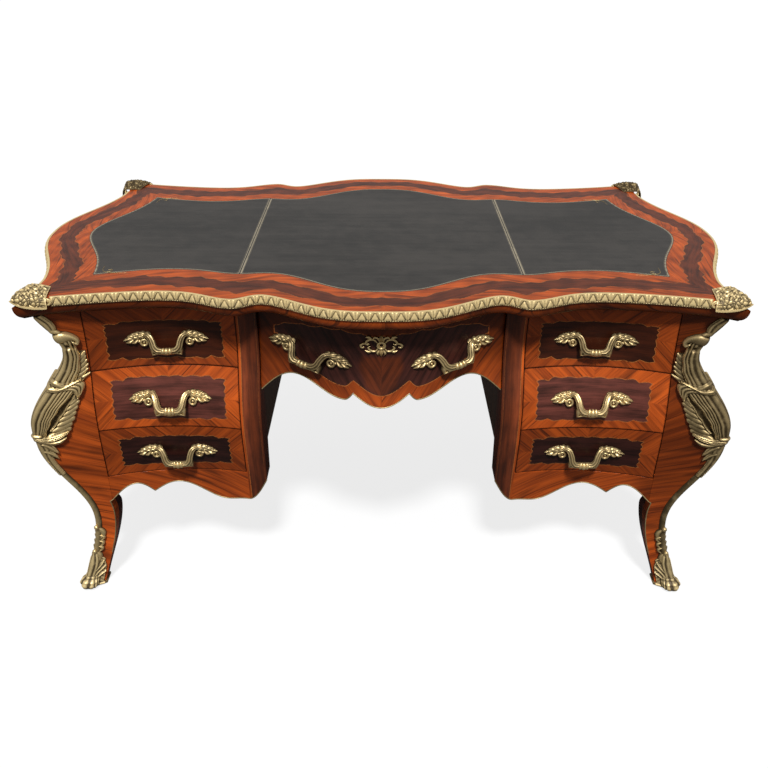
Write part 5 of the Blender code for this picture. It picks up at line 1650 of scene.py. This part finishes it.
def handle_shapes(place):
    """Leafy ends, necks and grip of a cast pull."""

    def path(knots, count):
        line = smooth(knots, count)
        return place(line[:, 0], line[:, 1], line[:, 2])

    shapes = []
    for flank in (1, -1):

        def flank_place(across, up, proud, flank=flank):
            return place(across * flank, up, proud)

        def flank_path(knots, count, flank=flank):
            line = smooth(knots, count)
            return place(line[:, 0] * flank, line[:, 1], line[:, 2])

        spine = [(0.034, 0.010), (0.050, 0.010), (0.068, 0.007), (0.083, 0.003), (0.095, -0.001)]
        widths = [0.006, 0.011, 0.011, 0.007, 0.0006]
        heights = [0.007, 0.009, 0.008, 0.005, 0.002]
        shapes.append(leaf(flank_place, spine, widths, heights, ribs=1, veins=7, rake=1.0, lobes=6, rows=60))
        tips = (
            ((0.044, 0.010), (0.050, 0.015), (0.059, 0.018)),
            ((0.055, 0.009), (0.063, 0.014), (0.072, 0.016)),
            ((0.067, 0.007), (0.076, 0.010), (0.085, 0.010)),
            ((0.062, 0.002), (0.070, -0.006), (0.080, -0.008)),
            ((0.073, 0.000), (0.081, -0.004), (0.090, -0.006)),
        )
        widths = [0.0030, 0.0048, 0.0006]
        heights = [0.005, 0.0085, 0.003]
        for spine in tips:
            shapes.append(leaf(flank_place, spine, widths, heights, ribs=1, rows=18, columns=22))
        ring = np.linspace(0, 2 * math.pi, 33)
        loop = flank_place(0.051 + 0.0072 * np.cos(ring), -0.0075 + 0.0072 * np.sin(ring), 0.0055 + 0 * ring)
        shapes.append(tube(loop, 0.0027, 10))
        shapes.append(bead(flank_place(np.array(0.051), np.array(-0.0075), np.array(0.0035)), 0.0034))
        shapes.append(bead(flank_place(np.array(0.0605), np.array(-0.004), np.array(0.005)), 0.0036))
        knots = [(0.054, 0.008, 0.005), (0.045, 0.012, 0.008), (0.037, 0.009, 0.013), (0.032, -0.002, 0.019)]
        knots += [(0.029, -0.014, 0.023), (0.022, -0.022, 0.025), (0.012, -0.024, 0.025), (0.004, -0.022, 0.025)]
        stations = [0, 0.04, 0.25, 0.55, 0.75, 1.0]
        radii = [0, 0.0035, 0.0068, 0.0076, 0.0074, 0.0055]
        neck_radii = np.interp(np.linspace(0, 1, 48), stations, radii)
        shapes.append(tube(flank_path(knots, 48), neck_radii, 30, 6, 0.26))
        spine = [(0.029, -0.012), (0.032, -0.024), (0.034, -0.037)]
        widths = [0.006, 0.0065, 0.0008]
        heights = [0.008, 0.008, 0.002]
        shapes.append(leaf(raised(flank_place, GRIP_LIFT), spine, widths, heights, ribs=1, rows=18, columns=18))
    spine = [(-0.031, -0.025), (-0.015, -0.0275), (0.0, -0.028), (0.015, -0.0275), (0.031, -0.025)]
    widths = [0.0060, 0.0078, 0.0085, 0.0078, 0.0060]
    heights = [0.005, 0.007, 0.008, 0.007, 0.005]
    shapes.append(leaf(raised(place, GRIP_LIFT), spine, widths, heights, veins=9, rows=54))
    lip_line = [(-0.033, -0.035, 0.020), (-0.018, -0.031, 0.023), (0.0, -0.033, 0.024)]
    lip_line += [(0.018, -0.031, 0.023), (0.033, -0.035, 0.020)]
    lip_radii = 0.0027 * np.sin(math.pi * np.linspace(0.01, 0.99, 40)) ** 0.3
    shapes.append(tube(path(lip_line, 40), lip_radii, 10))
    for across, radius in ((-0.0085, 0.0046), (0.0, 0.0060), (0.0085, 0.0046)):
        rise = path([(across, -0.033, 0.024), (across, -0.025, 0.0295), (across * 0.8, -0.015, 0.026)], 16)
        shapes.append(tube(rise, radius * np.sin(math.pi * np.linspace(0.02, 0.98, 16)) ** 0.5, 12))
    return shapes


class DESK_OT_handles(bpy.types.Operator):
    """Cast pulls of the drawers"""

    bl_idname = "desk.handles"
    bl_label = "Handles"

    def execute(self, context):
        for level, line in HANDLE_LINES.items():
            place = face_place(front_face, HANDLE_X, line)
            nodes = []
            for side_name, side in SIDES.items():
                label = side_name + "_" + level
                nodes.append(("handle_" + label, "drawer_" + label, side, HANDLE_PAINTED_LIGHT_AND_SHADE[level]))
            self.pair(place, nodes)
        place = face_place(center_face, CENTER_HANDLE_X, CENTER_HANDLE_Z, CENTER_TILT)
        nodes = []
        for side_name, side in SIDES.items():
            nodes.append(("center_handle_" + side_name, "center_drawer", side, CENTER_HANDLE_PAINTED_SHADE[side_name]))
        self.pair(place, nodes)
        return {"FINISHED"}

    def pair(self, place, nodes):
        """A pull on each side of the desk."""
        first = casting("handle_model", handle_shapes(place))
        # Each gilding share is the handle's painted light and shade, as a share of its relief mark
        for node, body, side, gilding in nodes:
            pull = relief_scaled(mirrored_copy(first, node + "_cast", side, -1), gilding)
            dress(pull, gilt(), body, "brass", node)
        bpy.data.objects.remove(first, do_unlink=True)


ESCUTCHEON_SCROLLS = (
    (0.0026, ((0.008, 0.006), (0.016, 0.014), (0.026, 0.014), (0.033, 0.007), (0.030, 0.002), (0.025, 0.004))),
    (0.0024, ((0.007, -0.007), (0.013, -0.014), (0.022, -0.013), (0.028, -0.006), (0.024, -0.002))),
    (0.0024, ((0.030, 0.003), (0.038, 0.004), (0.044, -0.001), (0.041, -0.006), (0.036, -0.004))),
    (0.0022, ((0.004, 0.009), (0.007, 0.017), (0.014, 0.020), (0.018, 0.016))),
)
ESCUTCHEON_LEAVES = (
    (0.004, ((0.020, 0.015), (0.027, 0.020), (0.034, 0.019))),
    (0.004, ((0.020, -0.012), (0.027, -0.016), (0.035, -0.013))),
    (0.0035, ((0.004, -0.012), (0.008, -0.019), (0.006, -0.025))),
)


class DESK_OT_center_drawer(bpy.types.Operator):
    """Shaped front of the centre drawer and its escutcheon"""

    bl_idname = "desk.center_drawer"
    bl_label = "Centre drawer"

    def execute(self, context):
        limit = KNEEHOLE - DRAWER_GAP
        outline = self.cartouche()
        shield = self.shield()

        def surface(across, up):
            x = limit * (2 * across - 1)
            low = center_hem(x)
            z = low + (STACK_TOP - low) * up
            return x, center_face(x, z), z

        def marks(x, z):
            grain = vector_mark(0.6 * np.abs(x) + 0.8 * z, 0.8 * np.abs(x) - 0.6 * z, 2 + 3 * (x > 0))
            figure = vector_mark(0.5 * np.abs(x) + 0.87 * z, 0.87 * np.abs(x) - 0.5 * z, 5 + (x > 0))
            inset = inside_distance(x, z, outline)
            # Painted shadow of the top: the wood outside the dark field darkens towards the top. The whole front
            # also darkens towards the left
            ends = eased(z, ((0.560, 0.85), (0.598, 0.62), (0.640, 0.36), (0.690, 0.28), (0.735, 0.24)))
            light = eased(x, ((-0.27, 0.62), (-0.12, 0.74), (0.0, 1.0), (0.27, 1.05)))
            tone = np.where(inset > 0, 0.80, ends) * light
            return wood_marks(grain, figure, inset=inset, shield=inside_distance(x, z, shield), tone=tone)

        front = add_panel("center_drawer_front_veneered", surface, CENTER_BACK, 90, 200, marks)
        dress(front, veneer(), "center_drawer", "kingwood", "center_drawer_front")
        place = face_place(center_face, 0.0, KEYHOLE_Z)
        plate = mirrored_copy(casting("escutcheon_model", self.escutcheon(place)), "escutcheon_cast", 1, -1)
        dress(plate, gilt(), "center_drawer", "brass", "escutcheon")
        bpy.data.objects.remove(bpy.data.objects["escutcheon_model"], do_unlink=True)
        return {"FINISHED"}

    def cartouche(self):
        """Outline of the dark field, parallel to the scalloped hem."""
        x = np.linspace(0.0, 0.238, 90)
        band = eased(x, ((0.0, 0.024), (0.06, 0.027), (0.17, 0.026), (0.20, 0.040), (0.238, 0.105)))
        low = center_hem(x) + band
        ripple = 0.004 * np.abs(np.sin(math.pi * x / 0.043))
        high = STACK_TOP - ripple - eased(x, ((0.0, 0.026), (0.10, 0.016), (0.19, 0.022), (0.238, 0.034)))
        right = np.vstack([np.column_stack([x, high]), np.column_stack([x, low])[::-1]])
        return np.vstack([right, (right * np.array((-1.0, 1.0)))[::-1][1:-1]])

    def shield(self):
        """Outline of the lighter heart of the field."""
        z = np.linspace(0.572, 0.662, 30)
        half = eased(z, ((0.572, 0.004), (0.600, 0.034), (0.640, 0.046), (0.662, 0.042)))
        right = np.column_stack([half, z])
        return np.vstack([right, (right * np.array((-1.0, 1.0)))[::-1]])

    def escutcheon(self, place):
        """Pierced cartouche: a ring, scrolls, leaves and a shell."""

        def loop(radius, thickness, proud):
            turn = np.linspace(0, 2 * math.pi, 36)
            return tube(place(radius * np.cos(turn), radius * np.sin(turn), proud + 0 * turn), thickness, 10)

        shapes = [loop(0.0078, 0.0024, 0.0035), loop(0.0048, 0.0010, 0.002)]
        for flank in (1, -1):

            def flank_place(across, up, proud, flank=flank):
                return place(across * flank, up, proud)

            def scroll(knots, radius, flank=flank):
                line = smooth(knots, 34)
                taper = np.sin(math.pi * np.linspace(0.02, 0.98, 34)) ** 0.45
                return tube(place(line[:, 0] * flank, line[:, 1], 0.003 + 0 * line[:, 0]), radius * taper, 10)

            for radius, knots in ESCUTCHEON_SCROLLS:
                shapes.append(scroll(knots, radius))
            for width, spine in ESCUTCHEON_LEAVES:
                widths = [0.002, width, 0.0006]
                shapes.append(leaf(flank_place, spine, widths, [0.003, 0.005, 0.002], ribs=1, rows=16))
        shell = [(0, 0.009), (0, 0.016), (0, 0.023)]
        widths = [0.003, 0.006, 0.002]
        shapes.append(leaf(place, shell, widths, [0.003, 0.006, 0.003], ribs=5, rows=18, columns=34))
        drop = [(0, -0.009), (0, -0.018), (0, -0.027)]
        widths = [0.003, 0.005, 0.001]
        shapes.append(leaf(place, drop, widths, [0.003, 0.006, 0.002], ribs=3, rows=18, columns=28))
        return shapes


class DESK_OT_front_frames(bpy.types.Operator):
    """Kneehole stiles and scalloped aprons"""

    bl_idname = "desk.front_frames"
    bl_label = "Front frames"

    def execute(self, context):
        bottom = STACK_BASE - DRAWER_GAP / 2
        for side_name, side in SIDES.items():

            def stile_surface(across, up):
                x = KNEEHOLE + (STILE_EDGE - KNEEHOLE) * across
                low = pedestal_hem(x)
                z = low + (CARCASS_TOP - low) * up
                return x, front_face(x, z), z

            def stile_marks(x, z):
                inset = STILE_EDGE - STILE_STRIP - x
                lines = np.abs(x - KNEEHOLE - STILE_STRIP)
                figure = vector_mark(z, x, 20 + side)
                # Painted light and shade by height: lighter at the middle, darker towards the foot and under the
                # top. Across, the stile is darker towards the kneehole and lighter beside the strip
                tone = eased(z, ((0.25, 0.85), (0.45, 1.35), (0.60, 1.25), (0.72, 0.70)))
                tone = tone * eased(x, ((KNEEHOLE, 0.66), (0.297, 0.82), (0.314, 1.40), (STILE_EDGE, 0.95)))
                return wood_marks(figure, figure, inset=inset, shield=1.0 + 0 * x, line=lines, tone=tone)

            def apron_surface(across, up):
                x = STILE_EDGE + (POST_X - FIT - STILE_EDGE) * across
                low = pedestal_hem(x)
                z = low + (bottom - low) * up
                return x, front_face(x, z), z

            def apron_marks(x, z):
                # Painted shade: the apron darkens towards its post, down to the post's painted shade near its
                # height
                tone = eased(x, ((STILE_EDGE, 1.0), (0.58, 1.05), (POST_X, POST_PAINTED_LIGHT_AND_SHADE[side_name][3][1])))
                return wood_marks(streaked(arris_x(z) - x, z, side - 2), tone=tone)

            stile = add_panel("stile_" + side_name, stile_surface, FRAME_BACK, 90, 24, stile_marks, side)
            label = "apron_" + side_name
            apron = add_panel(label, apron_surface, FRAME_BACK, 18, 130, apron_marks, side, inset=TIGHT_EDGE)
            piece = join("front_frame_" + side_name + "_veneered", [stile, apron])
            dress(piece, veneer(), "carcass", "kingwood", "front_frame_" + side_name)
        return {"FINISHED"}


class DESK_OT_backs(bpy.types.Operator):
    """Shaped backs of the pedestals and the frieze between them"""

    bl_idname = "desk.backs"
    bl_label = "Backs"

    def execute(self, context):
        middle_x = (KNEEHOLE + POST_X) / 2
        middle_z = (STACK_BASE + CARCASS_TOP) / 2
        half_width = (POST_X - KNEEHOLE) / 2
        half_height = (CARCASS_TOP - STACK_BASE) / 2
        outline = cartouche(half_width - 0.045, half_height - 0.045, half_height - 0.050)
        for side_name, side in SIDES.items():

            def surface(across, up):
                x = KNEEHOLE + (POST_X - FIT - KNEEHOLE) * across
                low = pedestal_hem(x)
                z = low + (CARCASS_TOP - low) * up
                return x, front_face(x, z), z

            def marks(x, z):
                return banded(x - middle_x, z - middle_z, half_width, half_height, outline, 40 + side)

            label = "back_panel_" + side_name + "_veneered"
            piece = add_panel(label, surface, FRAME_BACK, 110, 120, marks, side, 1)
            dress(piece, veneer(), "carcass", "tulipwood", "back_panel_" + side_name)

        limit = KNEEHOLE - FIT
        across, up = np.meshgrid(np.linspace(-1, 1, 181), np.linspace(0, 1, 61))
        x = across * limit
        low = center_hem(x)
        z = low + (CARCASS_TOP - low) * up
        points = np.stack([x, center_face(x, z), z], axis=-1)
        edge = cartouche(0.205, 0.045, 0.045)
        figure = vector_mark(0.5 * np.abs(x) + 0.87 * z, 0.87 * np.abs(x) - 0.5 * z, 50 + (x > 0))
        marks = wood_marks(streaked(x, z, 51), figure, inset=inside_distance(x, z - 0.680, edge))
        frieze = thicken(faced(add_sheet("back_frieze_veneered", points, marks), (0, 1, 0)), FRIEZE_THICKNESS)
        dress(frieze, veneer(), "carcass", "kingwood", "back_frieze")
        return {"FINISHED"}


def faced(piece, direction):
    """Turn a sheet so that most of its faces look along a direction."""
    normals = np.empty(3 * len(piece.data.polygons))
    piece.data.polygons.foreach_get("normal", normals)
    if np.dot(normals.reshape(-1, 3).sum(axis=0), direction) < 0:
        select_only([piece])
        bpy.ops.object.mode_set(mode="EDIT")
        bpy.ops.mesh.select_all(action="SELECT")
        bpy.ops.mesh.flip_normals()
        bpy.ops.object.mode_set(mode="OBJECT")
    return piece


class DESK_OT_outer_sides(bpy.types.Operator):
    """Bombe sides of the pedestals"""

    bl_idname = "desk.outer_sides"
    bl_label = "Outer sides"

    def execute(self, context):
        reach = POST_Y - FIT
        across, up = np.meshgrid(np.linspace(-1, 1, 151), np.linspace(0, 1, 101))
        y = across * reach
        low = side_hem(y)
        z = low + (CARCASS_TOP - low) * up
        points = np.stack([side_face(y, z), y, z], axis=-1)
        middle_z = (STACK_BASE + CARCASS_TOP) / 2
        half_height = (CARCASS_TOP - STACK_BASE) / 2
        outline = cartouche(reach - 0.055, half_height - 0.045, half_height - 0.050)
        for side_name, side in SIDES.items():
            marks = banded(y, z - middle_z, reach, half_height, outline, 60 + side)
            sheet = add_sheet("outer_side_" + side_name + "_veneered", quarter(points, side, 1), marks)
            piece = thicken(faced(sheet, (side, 0, 0)), SIDE_THICKNESS)
            dress(piece, veneer(), "carcass", "tulipwood", "outer_side_" + side_name)
        return {"FINISHED"}


class DESK_OT_edge_beads(bpy.types.Operator):
    """Thin brass beads along the lower edges"""

    bl_idname = "desk.edge_beads"
    bl_label = "Edge beads"

    def execute(self, context):
        radius = context.scene.desk_sizes.bead_radius
        x = np.linspace(KNEEHOLE + 0.001, POST_X - 0.001, 160)
        low = pedestal_hem(x)
        hem = np.stack([x, front_face(x, low) + BEAD_PROUD, low - BEAD_DROP], axis=1)
        z = np.linspace(LEG_TOP_Z, 0.090, 60)
        leg = np.stack([post_front_x(z), front_face(post_front_x(z), z) + BEAD_PROUD, z], axis=1)
        line = np.vstack([hem, leg[1:]])
        y = np.linspace(-POST_Y, POST_Y, 160)
        flank_low = side_hem(y)
        flank = np.stack([side_face(y, flank_low) + BEAD_PROUD, y, flank_low - BEAD_DROP], axis=1)
        for side_name, side in SIDES.items():
            for end_name, end in (("front", -1), ("back", 1)):
                name = f"edge_bead_{end_name}_{side_name}"
                self.bead(name, line, radius, side, end, "carcass")
            self.bead("edge_bead_flank_" + side_name, flank, radius, side, 1, "carcass")
        x = np.linspace(-KNEEHOLE + 0.003, KNEEHOLE - 0.003, 240)
        low = center_hem(x)
        hem = np.stack([x, center_face(x, low) + BEAD_PROUD, low - BEAD_DROP], axis=1)
        self.bead("edge_bead_center", hem, radius, 1, -1, "center_drawer")
        return {"FINISHED"}

    def bead(self, name, line, radius, side, end, body):
        """One run of bead."""
        radii = np.full(len(line), radius)
        points, _ = tube(quarter(line, side, end), radii, 8)
        dress(close_up(add_sheet(name, points, {"relief": 0.55}), 60), gilt(), body, "brass")


class DESK_OT_linings(bpy.types.Operator):
    """Finishes of the plain boards, drawer boxes and lock"""

    bl_idname = "desk.linings"
    bl_label = "Linings and lock"

    def execute(self, context):
        finishes = {
            "drawer_box": oak,
            "center_drawer_box": oak,
            "bottom_board": oak,
            "inner_side": dark_wood,
            "lock": lock_steel,
        }
        for name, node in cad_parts.items():
            for start, finish in finishes.items():
                if name.startswith(start):
                    node.data.materials.clear()
                    node.data.materials.append(finish())
        return {"FINISHED"}


OPERATORS = (
    DESK_OT_stage,
    DESK_OT_top_board,
    DESK_OT_leather,
    DESK_OT_edge_brass,
    DESK_OT_corner_mounts,
    DESK_OT_posts,
    DESK_OT_chutes,
    DESK_OT_sabots,
    DESK_OT_front_frames,
    DESK_OT_backs,
    DESK_OT_outer_sides,
    DESK_OT_drawer_fronts,
    DESK_OT_center_drawer,
    DESK_OT_handles,
    DESK_OT_edge_beads,
    DESK_OT_linings,
)


class DESK_PT_pieces(bpy.types.Panel):
    """Pieces of the desk"""

    bl_idname = "DESK_PT_pieces"
    bl_label = "Bombe desk"
    bl_space_type = "VIEW_3D"
    bl_region_type = "UI"
    bl_category = "Desk"

    def draw(self, context):
        for group in (context.scene.desk_sizes, context.scene.desk_finishes):
            for key in group.__annotations__:
                self.layout.prop(group, key)
        for operator in OPERATORS:
            self.layout.operator(operator.bl_idname)


def register():
    """Make the settings, operators and panel known to Blender."""
    for thing in (DeskSizes, DeskFinishes, *OPERATORS, DESK_PT_pieces):
        bpy.utils.register_class(thing)
    bpy.types.Scene.desk_sizes = bpy.props.PointerProperty(type=DeskSizes)
    bpy.types.Scene.desk_finishes = bpy.props.PointerProperty(type=DeskFinishes)


def unregister():
    """Undo register."""
    del bpy.types.Scene.desk_finishes
    del bpy.types.Scene.desk_sizes
    for thing in reversed((DeskSizes, DeskFinishes, *OPERATORS, DESK_PT_pieces)):
        bpy.utils.unregister_class(thing)


def main():
    """Build every piece."""
    register()
    for operator in OPERATORS:
        group, name = operator.bl_idname.split(".")
        getattr(getattr(bpy.ops, group), name)()


if __name__ == "__main__":
    main()
